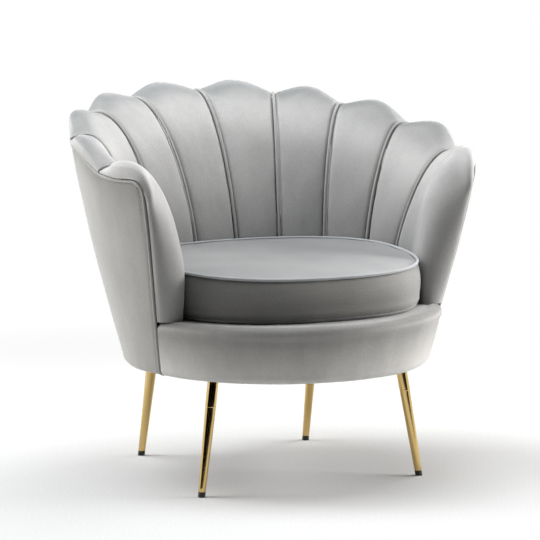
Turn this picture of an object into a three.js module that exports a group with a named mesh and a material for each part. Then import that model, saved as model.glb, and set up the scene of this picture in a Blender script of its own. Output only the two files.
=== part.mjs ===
// Scallop back chair: a round upholstered tub chair on four splayed metal legs.
// Millimetres, +Z up. The front faces -Y. The chair stands on z = 0 over the origin.
// Places round the seat are polar: an angle in degrees from the rear (+Y), positive
// towards +X, and a radius from the upright axis through the middle of the seat.

import * as THREE from 'three';
import { mergeVertices } from 'three/addons/utils/BufferGeometryUtils.js';

// Fits
const fit = 0.3; // gap between pieces that touch
const boreEnd = 1; // a bore's depth past what it holds
const edgeRoom = 1.6; // more of the same where the welt slopes
const cordPlay = 0.7; // between a cord and the panels on each side of it
const panelRoom = 1.1; // between the outer panel and the frame
const cushionClearance = 1.5; // between the loose cushion and the walls round it

// Heights
const footHeight = 226; // floor to the underside of the upholstery
const borderHeight = 109.7; // underside to the top of the seat deck and of the front rim
const boardRise = 10; // underside to the base board
const leanRise = 104.3; // deck to where the inner wall starts to lean outwards
const backCrestRise = 398.3; // deck to the top of the back between two petals, at the rear
const sideCrestRise = 303.3; // the same, level with the seat's middle
const petalRiseBack = 16; // how far a petal stands above the crest, at the rear
const petalRiseArm = 25; // and at the arms

// Outer shell
const shellFootRadius = 303; // at the underside, before the edge rounds under
const shellRimRadius = 410; // at the rim height
const rimRise = 364.3; // deck to the rim height
const shellBow = 6; // how far the flare bows out halfway up
const footEdgeRadius = 16; // rounded lower edge
const footLipWidth = 2; // flat strip under the shell

// Inner wall
const insideRear = 189; // radius at the rear
const insideSide = 278; // radius at the sides
const insideFront = 272; // radius that the plan curve would reach at the front
const insideSquareness = 2.4; // exponent of the plan curve
const wallLeanShare = 0.32; // share of the lean that is straight
const rollWidth = 34; // crest to outer shell
const channelPuff = 5; // padding between two pipings
const channelFullness = 0.75; // below 1 the padding is squarer than round
const petalSwell = 20; // how far a petal stands outwards at the crest
const petalOverhang = 3.5; // and at the outer welt
const petalFullness = 2; // above 1 a petal runs out flat towards its pipings

// Seams
const seamAnglesAtSeat = [0, 27, 49.5, 68.5, 87]; // pipings, from the rear to one arm
const seamAnglesAtCrest = [0, 24.3, 45.9, 69, 96];
const weltFootAngle = 106.4; // arm's front seam at the underside
const weltTopAngle = 114.7; // and at the top of the arm
const weltDropSeam = 16; // crest down to the outer welt at a piping
const weltDropPetal = 25; // and at the middle of a petal
const weltDropArm = 33; // and along the arm
const weltCornerRadius = 26;
const cordDiameter = 6;
const cordSink = 1; // how far a cord's middle lies under the surface

// Arm front
const armCrestAngle = 104; // past this angle the arm's crest runs level
const armCornerRadius = 26; // rounding of the arm's crest towards the front
const armCornerRoom = 9; // how far ahead of the arm that rounding would end
const armBulge = 22; // how far the arm's front stands before its welt
const armFaceFullness = 0.9; // below 1 the arm's front is squarer than round
const armRollFullness = 0.6; // below 1 the bulge reaches further out over the roll
const armLead = 2.4; // the front's outer edge ahead of the welt's own groove
const armMeetingLead = 0.15; // how much closer the section's points meet the welt near its top
const armEvenRounds = 4; // how often the arm's corner is evened out
const armEvenShare = 0.8; // and how far a point moves towards its neighbours each time
const armEvenLow = 500; // height at which that evening starts
const armEvenHigh = 580; // and from which it is whole
const armTurnSeat = 4; // degrees that the arm's inner edge runs ahead of the outer, at the seat
const armTurnCrest = -5; // and at the crest

// Panels and frame
const panelThickness = 4;
const frameThickness = 18;
const boardThickness = 15;
const boardMargin = 9.5; // shell to the edge of the base board
const boardOpening = 190; // radius of the hole in the base board
const railThickness = 18;
const ringWidth = 50;
const hoopHeight = 40;
const hoopRoom = 3.5; // padding over the hoop
const postWidth = 36;
const armPostAngle = 101;
const backPostAngle = 58;
const webbingWidth = 50;
const webbingThickness = 2;
const webbingSpacing = 110;
const deckThickness = 15.8;
const dustCoverThickness = 1.2;
const frontRoll = 16; // radius of the front border's rolled rim

// Cushion
const cushionFrontHeight = 84; // deck to top seam, at the front
const cushionRearHeight = 107; // and at the rear
const cushionCrown = 9;
const cushionBulge = 4; // side band, between its seams
const cushionEdge = 9; // rounding of the underside
const bandFullness = 0.6; // below 1 the side band is squarer than round

// Legs
const legTopRadius = 11;
const legCollarRadius = 10.6;
const legFootRadius = 7.2;
const legCollarShare = 0.27; // share of the leg above the start of its taper
const frontFoot = { side: 235, forward: 163 }; // foot centre, from the seat's axis
const frontLegTop = { side: 200, forward: 144 };
const rearFoot = { side: 187, forward: -252 };
const rearLegTop = { side: 180, forward: -198 };
const glideHeight = 9.5;
const glideStem = 12;
const glideStemRadius = 4.6;
const legWall = 1.6;
const plateRadius = 18.5;
const plateThickness = 3.2;
const spigotLength = 12;
const studRadius = 4;
const spigotRoom = 3.8; // between the leg's wall and the spigot inside it
const studEnd = 3; // wood left above the stud in the base board

// Fineness
const cordSides = 6;
const legSides = 16;
const ringSides = 48;
const holeSides = 12;
const acrossShares = [0, 0.1, 0.25, 0.42, 0.58, 0.75, 0.9, 1]; // sections of one channel
const wallShares = [0, 0.17, 0.34, 0.5, 0.64, 0.77, 0.89, 1, 1.3, 1.6, 1.85, 2]; // past 1 over the roll
const pipingShares = [0, 0.08, 0.17, 0.26, 0.34, 0.42, 0.5, 0.6, 0.7, 0.8, 0.9, 1, 1.2, 1.4, 1.6, 1.75];
const backShares = [0, 0.25, 0.5, 0.75, 1];
const stepShare = 0.01; // look-ahead that gives a seam its direction
const armBehindShares = [0, 0.07, 0.25, 0.42]; // sections of the arm behind its post
const armBesideShares = [0.55, 0.6]; // where its back steps out over the post
const armAheadShares = [0.7, 0.79, 0.87, 0.93, 0.985]; // and ahead of the post
const armTurns = [0, 25, 50, 75, 100, 126, 150]; // degrees round the arm's front
const weltShares = [0, 0.02, 0.045, 0.1, 0.2, 0.3, 0.4, 0.5, 0.6, 0.7, 0.8, 0.9, 0.97, 1]; // up the arm
const cornerShares = [0.08, 0.2, 0.4, 0.65, 1];
const armRimShares = [0.85, 0.7, 0.5, 0.3, 0.15, 0.05, 0];
const shellShares = [0, 0.3, 0.65, 1]; // up the outer panel
const edgeTurns = [0, 45, 90]; // degrees round the lower edge
const borderShares = [0.33, 0.67]; // up the front border
const rimTurns = [0, 22, 45, 67, 90]; // degrees round its rolled rim
const borderSteps = 40;
const hoopSteps = 44;
const postSteps = 4;
const postLevels = 6;
const bandShares = [0.2, 0.5, 0.8]; // up the cushion's side
const crownShares = [0.92, 0.8, 0.6, 0.35, 0.1]; // from the cushion's seam to its middle
const undersideShare = 0.5;

// Looks
const looks = {
  velvet: { color: 0xa9a7a5, roughness: 0.85, metalness: 0 },
  velvetSide: { color: 0x9b9997, roughness: 0.85, metalness: 0 },
  cushionVelvet: { color: 0xa8aab0, roughness: 0.85, metalness: 0 },
  cord: { color: 0x9f9d9b, roughness: 0.8, metalness: 0 },
  gold: { color: 0xd9b35c, roughness: 0.18, metalness: 1 },
  steel: { color: 0xa0a3a6, roughness: 0.4, metalness: 1 },
  rubber: { color: 0x1a1a1a, roughness: 0.6, metalness: 0 },
  plywood: { color: 0xcaa878, roughness: 0.7, metalness: 0 },
  webbing: { color: 0x2c2c2e, roughness: 0.9, metalness: 0 },
  dustCover: { color: 0x1e1e20, roughness: 0.95, metalness: 0 },
};

const chair = new THREE.Group();

function add(name, geometry, look) {
  const mesh = new THREE.Mesh(geometry, new THREE.MeshStandardMaterial(looks[look]));
  mesh.name = name;
  chair.add(mesh);
  return mesh;
}

// Small sums

const lerp = THREE.MathUtils.lerp;
const clamp = THREE.MathUtils.clamp;
const rad = THREE.MathUtils.degToRad;

function polar(angle, radius, height) {
  return new THREE.Vector3(radius * Math.sin(rad(angle)), radius * Math.cos(rad(angle)), height);
}

// Degrees that a length takes up on a circle.
function degreesOf(length, radius) {
  return THREE.MathUtils.radToDeg(length / radius);
}

function range(count) {
  return Array.from({ length: count + 1 }, (_, i) => i / count);
}

// The chair's surfaces

const fullTurn = 360;
const deckHeight = footHeight + borderHeight;
const boardHeight = footHeight + boardRise;
const leanHeight = deckHeight + leanRise;
const backCrest = deckHeight + backCrestRise;
const sideCrest = deckHeight + sideCrestRise;
const shellRimHeight = deckHeight + rimRise;
const cordRadius = cordDiameter / 2;
const seatLevel = deckHeight + fit;
const cordRoom = cordRadius + cordPlay;
const frameOuterInset = panelThickness + panelRoom;
const frameInnerInset = frameOuterInset + frameThickness;
const lastSeam = seamAnglesAtCrest.length - 1;

// Radius of the outer shell at a height.
function shellRadius(height) {
  const start = footHeight + footEdgeRadius;
  const share = (height - start) / (shellRimHeight - start);
  if (share < 0) {
    const below = Math.min(start - height, footEdgeRadius);
    return shellFootRadius - footEdgeRadius + Math.sqrt(footEdgeRadius ** 2 - below ** 2);
  }
  return lerp(shellFootRadius, shellRimRadius, share) + shellBow * Math.sin(Math.PI * share);
}

// Plan curve of the inner wall, a rounded square that is shallower behind.
function insideRadius(angle, inset = 0) {
  const cos = Math.cos(rad(angle));
  const sin = Math.sin(rad(angle));
  const depth = (cos > 0 ? insideRear : insideFront) - inset;
  const across = Math.abs(sin / (insideSide - inset)) ** insideSquareness;
  const along = Math.abs(cos / depth) ** insideSquareness;
  return (across + along) ** (-1 / insideSquareness);
}

// Height of the crest between petals.
function crestHeight(angle) {
  return lerp(sideCrest, backCrest, Math.cos(rad(Math.min(Math.abs(angle), armCrestAngle))));
}

function petalRise(angle) {
  const share = (1 - Math.cos(rad(angle))) / (1 - Math.cos(rad(weltTopAngle)));
  return lerp(petalRiseBack, petalRiseArm, share);
}

// How far a shape across a channel has risen: 0 at its seams, 1 in the middle.
function archShape(across, fullness) {
  return Math.sin(Math.PI * clamp(across, 0, 1)) ** fullness;
}

// Angle of a seam, seat (0) to crest (1); seams past the last are the arm's front.
function seamAngle(index, up) {
  if (index > lastSeam) return weltTopAngle;
  return lerp(seamAnglesAtSeat[index], seamAnglesAtCrest[index], clamp(up, 0, 1));
}

// Where an angle at the crest lies in its petal, 0 to 1.
function acrossPetal(angle) {
  const size = Math.abs(angle);
  let index = 0;
  while (index < lastSeam && size > seamAnglesAtCrest[index + 1]) index += 1;
  const low = seamAngle(index, 1);
  const high = seamAngle(index + 1, 1);
  return (size - low) / (high - low);
}

// Angle of the arm's front seam at a height.
function weltAngle(height) {
  const top = crestHeight(weltTopAngle) - weltDropSeam;
  const share = clamp((height - footHeight) / (top - footHeight), 0, 1);
  return lerp(weltFootAngle, weltTopAngle, Math.sin(share * Math.PI / 2));
}

// Height of the outer welt behind the petals, with its rounded corner at the arm.
function weltHeight(angle) {
  const size = Math.abs(angle);
  const onArm = size > seamAnglesAtCrest[lastSeam];
  const across = onArm ? Math.min(acrossPetal(size), 0.5) : acrossPetal(size);
  const shape = archShape(across, petalFullness);
  const crest = crestHeight(size) + petalRise(size) * shape;
  const drop = lerp(weltDropSeam, onArm ? weltDropArm : weltDropPetal, shape);
  return crest - drop - cornerDrop(size, weltCornerRadius, 0);
}

// How far a rounded corner at the arm's front lies below its level line. Room moves the
// end of the rounding ahead of the arm.
function cornerDrop(angle, radius, room) {
  const fromEnd = rad(weltTopAngle - Math.abs(angle)) * shellRimRadius + room;
  const share = clamp(1 - fromEnd / radius, 0, 1);
  return radius * (1 - Math.sqrt(1 - share ** 2));
}

// Top of the back frame, under the padding.
function hoopTop(angle) {
  return crestHeight(angle) - weltDropSeam + cordRoom - hoopRoom;
}

// A body between closed rings of equal length, with flat ends.
// Each ring is a list of points; outline gives one ring's points in a plane.
function loft(rings, outline) {
  const size = rings[0].length;
  const positions = rings.flat().flatMap((point) => point.toArray());
  const faces = [];
  for (let ring = 0; ring + 1 < rings.length; ring += 1) {
    for (let i = 0; i < size; i += 1) {
      const a = ring * size + i;
      const b = ring * size + (i + 1) % size;
      faces.push(a, b, b + size, a, b + size, a + size);
    }
  }
  const last = (rings.length - 1) * size;
  for (const [a, b, c] of capFaces(outline(rings[0]))) faces.push(c, b, a);
  for (const [a, b, c] of capFaces(outline(rings.at(-1)))) faces.push(last + a, last + b, last + c);
  const geometry = new THREE.BufferGeometry();
  geometry.setAttribute('position', new THREE.Float32BufferAttribute(positions, 3));
  geometry.setIndex(faces);
  return outward(geometry);
}

// Triangles of a flat end, turning the same way as its outline.
function capFaces(points) {
  const faces = THREE.ShapeUtils.triangulateShape(points, []);
  const turn = Math.sign(THREE.ShapeUtils.area(points));
  return faces.map(([a, b, c]) => {
    const side = THREE.ShapeUtils.area([points[a], points[b], points[c]]);
    return Math.sign(side) === turn ? [a, b, c] : [a, c, b];
  });
}

// Turns every face over when the body is inside out.
function outward(geometry) {
  const place = geometry.getAttribute('position');
  const index = geometry.getIndex().array;
  const corner = [0, 1, 2].map(() => new THREE.Vector3());
  let volume = 0;
  for (let i = 0; i < index.length; i += 3) {
    corner.forEach((point, j) => point.fromBufferAttribute(place, index[i + j]));
    volume += corner[0].dot(corner[1].clone().cross(corner[2]));
  }
  if (volume < 0) {
    for (let i = 0; i < index.length; i += 3) {
      [index[i + 1], index[i + 2]] = [index[i + 2], index[i + 1]];
    }
  }
  return geometry;
}

// A ring seen from its own radial side: radius against height.
function radialOutline(ring) {
  return ring.map((point) => new THREE.Vector2(Math.hypot(point.x, point.y), point.z));
}

// A smooth path whose steps are its own points.
class SeamCurve extends THREE.CatmullRomCurve3 {
  getUtoTmapping(share) {
    return share;
  }
}

// A round cord through a list of points.
function cord(points) {
  const section = new THREE.Shape(circle(cordRadius, cordSides));
  return new THREE.ExtrudeGeometry(section, { steps: points.length - 1, extrudePath: new SeamCurve(points) });
}

function circle(radius, sides, x = 0, y = 0) {
  return new THREE.EllipseCurve(x, y, radius, radius).getPoints(sides).slice(0, -1);
}

// A flat ring with round holes, lying level.
function flatRing(outer, inner, thickness, holes = []) {
  const shape = new THREE.Shape(circle(outer, ringSides));
  if (inner > 0) shape.holes.push(new THREE.Path(circle(inner, ringSides).reverse()));
  for (const hole of holes) {
    const reach = hole.radius / Math.cos(Math.PI / holeSides);
    shape.holes.push(new THREE.Path(circle(reach, holeSides, hole.x, hole.y).reverse()));
  }
  return new THREE.ExtrudeGeometry(shape, { depth: thickness, bevelEnabled: false });
}

// Channels

// One point of the inner wall and of the roll over its crest, as radius and height.
// Level runs 0 to 1 up the wall and 1 to 2 over the roll, down to the outer welt.
// Rise is where the crest's height is taken, which on an arm isn't where its depth is.
function wallPoint(angle, across, level, rise = across) {
  const petal = archShape(across, petalFullness);
  const corner = cornerDrop(angle, armCornerRadius, armCornerRoom);
  const crest = crestHeight(angle) + petalRise(angle) * archShape(rise, petalFullness) - corner;
  const low = insideRadius(angle) - channelPuff * archShape(across, channelFullness);
  const crestRadius = shellRadius(crest) - rollWidth + petalSwell * petal;
  if (level <= 1) {
    const turn = level * Math.PI / 2;
    const lean = wallLeanShare * Math.sin(turn) + (1 - wallLeanShare) * (1 - Math.cos(turn));
    return { radius: lerp(low, crestRadius, lean), height: lerp(leanHeight, crest, Math.sin(turn)) };
  }
  const turn = (level - 1) * Math.PI / 2;
  const edge = weltHeight(angle) + cordRoom + edgeRoom;
  const radius = lerp(crestRadius, shellRadius(edge) + petalOverhang * petal, Math.sin(turn));
  return { radius, height: lerp(edge, crest, Math.cos(turn)) };
}

// Angle round the seat at a share of a channel's width and a share of the wall's height.
function channelAngle(index, across, up) {
  return lerp(seamAngle(index, up), seamAngle(index + 1, up), across);
}

// The outline of one channel's section: the wall, the roll, the edge at the outer welt,
// and the back against the frame. Each point has the share of the wall that it belongs to.
function channelSection(angleAt, across, backInset, edgeInset = fit, rise = across) {
  const points = [];
  const low = wallPoint(angleAt(0), across, 0);
  points.push({ radius: low.radius, height: seatLevel, up: 0 });
  for (const level of wallShares) {
    const up = Math.sin(Math.min(level, 1) * Math.PI / 2);
    points.push({ ...wallPoint(angleAt(up), across, level, rise), up });
  }
  const edge = points.at(-1).height - fit;
  points.push({ radius: shellRadius(edge) - edgeInset, height: edge, up: 1 });
  const top = Math.min(hoopTop(angleAt(1)) + edgeRoom, edge - fit);
  for (const share of backShares) {
    const height = lerp(top, seatLevel, share);
    points.push({ radius: shellRadius(height) - backInset, height, up: 1 - share, back: true });
  }
  return points;
}

function toRing(points, mirrored) {
  return points.map(({ angle, radius, height }) => polar(mirrored * angle, radius, height));
}

function channelRing(index, across) {
  const angleAt = (up) => channelAngle(index, across, up);
  return channelSection(angleAt, across, frameInnerInset + 2 * fit).map((point) => {
    const low = seamAngle(index, point.up) + degreesOf(cordRoom, point.radius);
    const high = seamAngle(index + 1, point.up) - degreesOf(cordRoom, point.radius);
    return { ...point, angle: clamp(angleAt(point.up), low, high) };
  });
}

function channel(index, mirrored) {
  const rings = acrossShares.map((across) => toRing(channelRing(index, across), mirrored));
  return loft(rings, radialOutline);
}

// The last channel runs on round the front of the arm.

const frameEnd = armPostAngle + degreesOf(postWidth / 2, insideSide);

// Angle at which the arm's padding ends: at the welt, with the inner edge turned against it.
function armEndAngle({ radius, height }) {
  const depth = clamp((shellRadius(height) - radius) / rollWidth, 0, 1) ** 2;
  const top = crestHeight(weltTopAngle) + petalRise(weltTopAngle);
  const turn = lerp(armTurnSeat, armTurnCrest, (height - seatLevel) / (top - seatLevel));
  return weltAngle(height) + degreesOf(cordRoom + fit, radius) + depth * turn;
}

function armRing(across, backInset, edgeInset, backAngle) {
  const angleAt = (up) => channelAngle(lastSeam, across, up);
  return channelSection(angleAt, across, backInset, edgeInset, Math.min(across, 0.5)).map((point) => {
    const start = seamAngle(lastSeam, point.up) + degreesOf(cordRoom, point.radius);
    const angle = point.back && backAngle ? backAngle : lerp(start, armEndAngle(point), across);
    return { ...point, angle };
  });
}

// Heights at which the points of the arm's end section meet its welt, spaced as they are
// along the section itself.
function meetingHeights(ring) {
  const top = weltHeight(weltTopAngle) - seatLevel;
  const travelled = [0];
  for (const [i, point] of ring.slice(1).entries()) {
    const before = ring[i];
    travelled.push(travelled[i] + Math.hypot(point.radius - before.radius, point.height - before.height));
  }
  return ring.map((point, i) => {
    if (i > wallShares.length) {
      return lerp(seatLevel, seatLevel + top - (i - wallShares.length) * fit, point.up);
    }
    const share = travelled[i] / travelled[wallShares.length];
    return seatLevel + top * share * (1 + armMeetingLead * (1 - share));
  });
}

// The arm's front: the end section bulges forward and draws in to its welt.
function armFan(ring, turn) {
  const inward = (1 - Math.cos(turn)) / 2;
  const bulge = armBulge * Math.sin(turn) ** armFaceFullness;
  const meeting = meetingHeights(ring);
  return ring.map((point, i) => {
    const depth = clamp((shellRadius(point.height) - point.radius) / rollWidth, 0, 1);
    const forward = bulge * depth ** armRollFullness + armLead * turn / Math.PI;
    const height = lerp(point.height, meeting[i], Math.sin(turn / 2));
    const inset = i > wallShares.length ? fit : 2 * fit;
    const radius = lerp(point.radius, shellRadius(meeting[i]) - inset, inward);
    const welt = weltAngle(height) + degreesOf(cordRoom + fit, radius);
    return { ...point, radius, height, angle: lerp(point.angle, welt, inward) + degreesOf(forward, radius) };
  });
}

// Evens the arm's upper front corner out; its first, last and outermost points stay.
function evened(rings) {
  return rings.map((ring, i) => ring.map((point, j) => {
    if (i === 0 || i === rings.length - 1 || j === 0 || j >= wallShares.length) {
      return point;
    }
    const rise = clamp((point.height - armEvenLow) / (armEvenHigh - armEvenLow), 0, 1);
    const around = [rings[i - 1][j], rings[i + 1][j], ring[j - 1], ring[j + 1]];
    const mean = (key) => around.reduce((total, other) => total + other[key], 0) / around.length;
    const moved = (key) => lerp(point[key], mean(key), armEvenShare * rise);
    return { ...point, radius: moved("radius"), height: moved("height"), angle: moved("angle") };
  }));
}

function armChannel(mirrored) {
  const inner = frameInnerInset + 2 * fit;
  const outer = frameOuterInset;
  const step = frameEnd + degreesOf(fit, insideSide);
  const behind = armBehindShares.map((across) => armRing(across, inner, fit));
  const beside = armBesideShares.map((across, i) => armRing(across, i > 0 ? outer : inner, outer, step));
  const ahead = armAheadShares.map((across) => armRing(across, outer, outer));
  const lip = armRing(1, fit, fit);
  let front = [...ahead, ...armTurns.map((turn) => armFan(lip, rad(turn)))];
  for (let round = 0; round < armEvenRounds; round += 1) {
    front = evened(front);
  }
  const rings = [...behind, ...beside, ...front];
  return loft(rings.map((ring) => toRing(ring, mirrored)), radialOutline);
}

// The piping between two channels, from the deck over the crest to the outer welt.
function seamPath(index, mirrored) {
  const foot = seamAngle(index, 0);
  const points = range(3).slice(0, -1).map((share) => (
    polar(mirrored * foot, insideRadius(foot) + cordSink, lerp(seatLevel, leanHeight, share))));
  for (const level of pipingShares) {
    const up = Math.sin(Math.min(level, 1) * Math.PI / 2);
    const angle = seamAngle(index, up);
    const here = wallPoint(angle, 0, level);
    const next = wallPoint(angle, 0, level + stepShare);
    const along = new THREE.Vector2(next.radius - here.radius, next.height - here.height).normalize();
    const radius = here.radius + along.y * cordSink;
    points.push(polar(mirrored * angle, radius, here.height - along.x * cordSink));
  }
  return points;
}

// Outer welt: up one arm, behind the petals and down the other arm.

// Angles along the outer rim, from the arm's corner to the rear: the channels' own sections.
function rimAngles() {
  const cornerStart = weltTopAngle - degreesOf(weltCornerRadius, shellRimRadius);
  const angles = cornerShares.map((share) => lerp(weltTopAngle, cornerStart, share));
  for (const share of armRimShares) angles.push(lerp(seamAnglesAtCrest[lastSeam], cornerStart, share));
  for (let index = lastSeam - 1; index >= 0; index -= 1) {
    for (const across of acrossShares.toReversed().slice(1)) angles.push(channelAngle(index, across, 1));
  }
  return angles;
}

function weltPath() {
  const half = [];
  const top = weltHeight(weltTopAngle);
  for (const share of weltShares) {
    const height = lerp(footHeight + fit, top, share);
    half.push(polar(weltAngle(height), shellRadius(height) - cordSink, height));
  }
  for (const angle of rimAngles().slice(0, -1)) {
    half.push(polar(angle, shellRadius(weltHeight(angle)) - cordSink, weltHeight(angle)));
  }
  const middle = polar(0, shellRadius(weltHeight(0)) - cordSink, weltHeight(0));
  const other = half.map((point) => new THREE.Vector3(-point.x, point.y, point.z)).reverse();
  return [...half, middle, ...other];
}

// Outer panels

// Section of a panel that follows the shell, between its underside and a top height.
function shellSection(top, thickness) {
  const outer = edgeTurns.map((turn) => ({
    radius: shellFootRadius - footEdgeRadius * (1 - Math.sin(rad(turn))),
    height: footHeight + footEdgeRadius * (1 - Math.cos(rad(turn))),
  }));
  const start = outer.at(-1).height;
  for (const share of shellShares.slice(1)) {
    const height = lerp(start, top, share);
    outer.push({ radius: shellRadius(height), height });
  }
  const lip = shellFootRadius - footEdgeRadius - footLipWidth;
  const inner = outer.map(({ radius, height }, i) => {
    const low = i === 0;
    return { radius: low ? radius : radius - thickness, height: low ? height + thickness : height };
  });
  inner[1].height += thickness / 2;
  return [{ radius: lip, height: footHeight }, ...outer, ...inner.reverse(),
    { radius: lip, height: footHeight + thickness }];
}

function outerPanel() {
  const last = weltTopAngle - degreesOf(cordRoom, shellRimRadius);
  const side = [last, ...rimAngles().filter((angle) => angle < last)];
  const columns = [...side, ...side.slice(0, -1).reverse().map((angle) => -angle)];
  const rings = columns.map((column) => {
    const ahead = Math.abs(column) + degreesOf(2 * edgeRoom, shellRimRadius);
    const top = Math.min(weltHeight(column), weltHeight(ahead)) - cordRoom - edgeRoom / 2;
    return shellSection(top, panelThickness).map(({ radius, height }) => {
      const end = weltAngle(height) - degreesOf(cordRoom, radius);
      return polar(column * end / last, radius, height);
    });
  });
  return loft(rings, radialOutline);
}

// Front border: rolled over at the top, from one arm's welt to the other's.

const deckBottom = deckHeight - deckThickness;
const crossLevel = deckBottom - fit - webbingThickness;
const webbingLevel = crossLevel - fit - webbingThickness;
const ringLevel = webbingLevel - fit - boardThickness;
const deckRadius = shellRadius(deckBottom) - frameInnerInset - 2 * fit;
const boardRadius = shellFootRadius - boardMargin;
const frameFoot = boardHeight + boardThickness + fit;

function frontBorder() {
  const start = footHeight + footEdgeRadius;
  const rollFoot = deckHeight - frontRoll;
  const lip = shellFootRadius - footEdgeRadius - footLipWidth;
  const outer = [{ radius: lip, height: footHeight }];
  for (const turn of edgeTurns) {
    outer.push({
      radius: shellFootRadius - footEdgeRadius * (1 - Math.sin(rad(turn))),
      height: footHeight + footEdgeRadius * (1 - Math.cos(rad(turn))),
    });
  }
  for (const share of borderShares) {
    const height = lerp(start, rollFoot, share);
    outer.push({ radius: shellRadius(height), height });
  }
  for (const turn of rimTurns) {
    outer.push({
      radius: shellRadius(rollFoot) - frontRoll * (1 - Math.cos(rad(turn))),
      height: rollFoot + frontRoll * Math.sin(rad(turn)),
    });
  }
  outer.push({ radius: deckRadius + fit, height: deckHeight });
  outer.push({ radius: deckRadius + fit, height: deckBottom });
  outer.push({ radius: boardRadius + fit, height: frameFoot });
  outer.push({ radius: boardRadius + fit, height: boardHeight - panelThickness });
  outer.push({ radius: lip, height: footHeight + panelThickness });
  const rings = range(borderSteps).map((share) => outer.map(({ radius, height }) => {
    const end = weltAngle(height) + degreesOf(cordRoom, radius);
    return polar(lerp(end, fullTurn - end, share), radius, height);
  }));
  return loft(rings, radialOutline);
}

// Frame

const railRadius = shellRadius(frameFoot) - frameInnerInset - fit;

// A member that follows the shell between two angles.
function frameMember(angles, levels, bottomAt, topAt) {
  const rings = angles.map((angle) => {
    const bottom = bottomAt(angle);
    const top = topAt(angle);
    const heights = range(levels).map((share) => lerp(bottom, top, share));
    const points = [
      ...heights.map((height) => ({ radius: shellRadius(height) - frameOuterInset - fit, height })),
      ...heights.reverse().map((height) => ({ radius: shellRadius(height) - frameInnerInset, height })),
    ];
    return points.map(({ radius, height }) => polar(angle, radius, height));
  });
  return loft(rings, radialOutline);
}

function backHoop() {
  const angles = range(hoopSteps).map((share) => lerp(-frameEnd, frameEnd, share));
  return frameMember(angles, 1, (angle) => hoopTop(angle) - hoopHeight, hoopTop);
}

function post(middle) {
  const half = degreesOf(postWidth / 2, insideSide);
  const angles = range(postSteps).map((share) => middle + lerp(-half, half, share));
  return frameMember(angles, postLevels, () => frameFoot, (angle) => hoopTop(angle) - hoopHeight - 2 * fit);
}

function strap(offset, level, alongX) {
  const reach = railRadius - railThickness / 2;
  const length = 2 * Math.sqrt(reach ** 2 - (Math.abs(offset) + webbingWidth / 2) ** 2);
  const size = alongX ? [length, webbingWidth] : [webbingWidth, length];
  const place = alongX ? [0, offset] : [offset, 0];
  const geometry = new THREE.BoxGeometry(size[0], size[1], webbingThickness);
  return geometry.translate(place[0], place[1], level + webbingThickness / 2);
}

// Legs

const legTop = boardHeight - fit - plateThickness;
const corners = [
  { name: 'front_right', mirrored: 1, foot: frontFoot, top: frontLegTop },
  { name: 'front_left', mirrored: -1, foot: frontFoot, top: frontLegTop },
  { name: 'rear_right', mirrored: 1, foot: rearFoot, top: rearLegTop },
  { name: 'rear_left', mirrored: -1, foot: rearFoot, top: rearLegTop },
];

function footPlace({ mirrored, foot }) {
  return { x: mirrored * foot.side, y: -foot.forward };
}

function topPlace({ mirrored, top }) {
  return { x: mirrored * top.side, y: -top.forward };
}

// A turned solid that leans the way its leg does. The profile is radius against height.
function leaning(profile, corner, sides = legSides) {
  const points = profile.map(([radius, height]) => new THREE.Vector2(radius, height));
  const geometry = new THREE.LatheGeometry(points, sides).rotateX(Math.PI / 2);
  const foot = footPlace(corner);
  const top = topPlace(corner);
  const place = geometry.getAttribute('position');
  for (let i = 0; i < place.count; i += 1) {
    const share = place.getZ(i) / legTop;
    place.setX(i, place.getX(i) + lerp(foot.x, top.x, share));
    place.setY(i, place.getY(i) + lerp(foot.y, top.y, share));
  }
  return outward(mergeVertices(geometry.deleteAttribute('normal').deleteAttribute('uv')));
}

function leg(corner) {
  const bottom = glideHeight + fit;
  const top = legTop - fit;
  const collar = lerp(top, bottom, legCollarShare);
  const plug = bottom + glideStem + boreEnd;
  const bore = glideStemRadius + fit;
  const socket = legTopRadius - legWall;
  const floor = top - spigotLength - boreEnd;
  return leaning([
    [0, plug], [bore, plug], [bore, bottom], [legFootRadius, bottom], [legCollarRadius, collar],
    [legTopRadius, collar + boreEnd], [legTopRadius, top], [socket, top], [socket, floor], [0, floor],
  ], corner);
}

function glide(corner) {
  return leaning([
    [0, 0], [legFootRadius, 0], [legFootRadius, glideHeight], [glideStemRadius, glideHeight],
    [glideStemRadius, glideHeight + glideStem], [0, glideHeight + glideStem],
  ], corner);
}

// A plate with a spigot down into the leg and a stud up through the board.
function legPlate(corner) {
  const spigot = legTopRadius - legWall - spigotRoom;
  const studTop = boardHeight + boardThickness - studEnd;
  const points = [
    [0, legTop - spigotLength], [spigot, legTop - spigotLength], [spigot, legTop], [plateRadius, legTop],
    [plateRadius, legTop + plateThickness], [studRadius, legTop + plateThickness],
    [studRadius, studTop], [0, studTop],
  ].map(([radius, height]) => new THREE.Vector2(radius, height));
  const top = topPlace(corner);
  const geometry = new THREE.LatheGeometry(points, legSides).rotateX(Math.PI / 2).translate(top.x, top.y, 0);
  return outward(mergeVertices(geometry.deleteAttribute('normal').deleteAttribute('uv')));
}

// Cushion

const cushionInset = channelPuff + cushionClearance;

// Radius of the cushion's seams.
function cushionRadius(angle) {
  return insideRadius(angle, cushionInset) - cushionBulge;
}

// Height of the top seam's plane, which rises towards the back.
function seamPlane(y) {
  const front = cushionRadius(180);
  const share = (y + front) / (cushionRadius(0) + front);
  return seatLevel + lerp(cushionFrontHeight, cushionRearHeight, share);
}

function seamHeight(angle) {
  return seamPlane(cushionRadius(angle) * Math.cos(rad(angle)));
}

const lowSeamHeight = seatLevel + cushionEdge;

function cushionRing(angleAt) {
  return range(ringSides).slice(0, -1).map((share) => angleAt(fullTurn * share));
}

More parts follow.
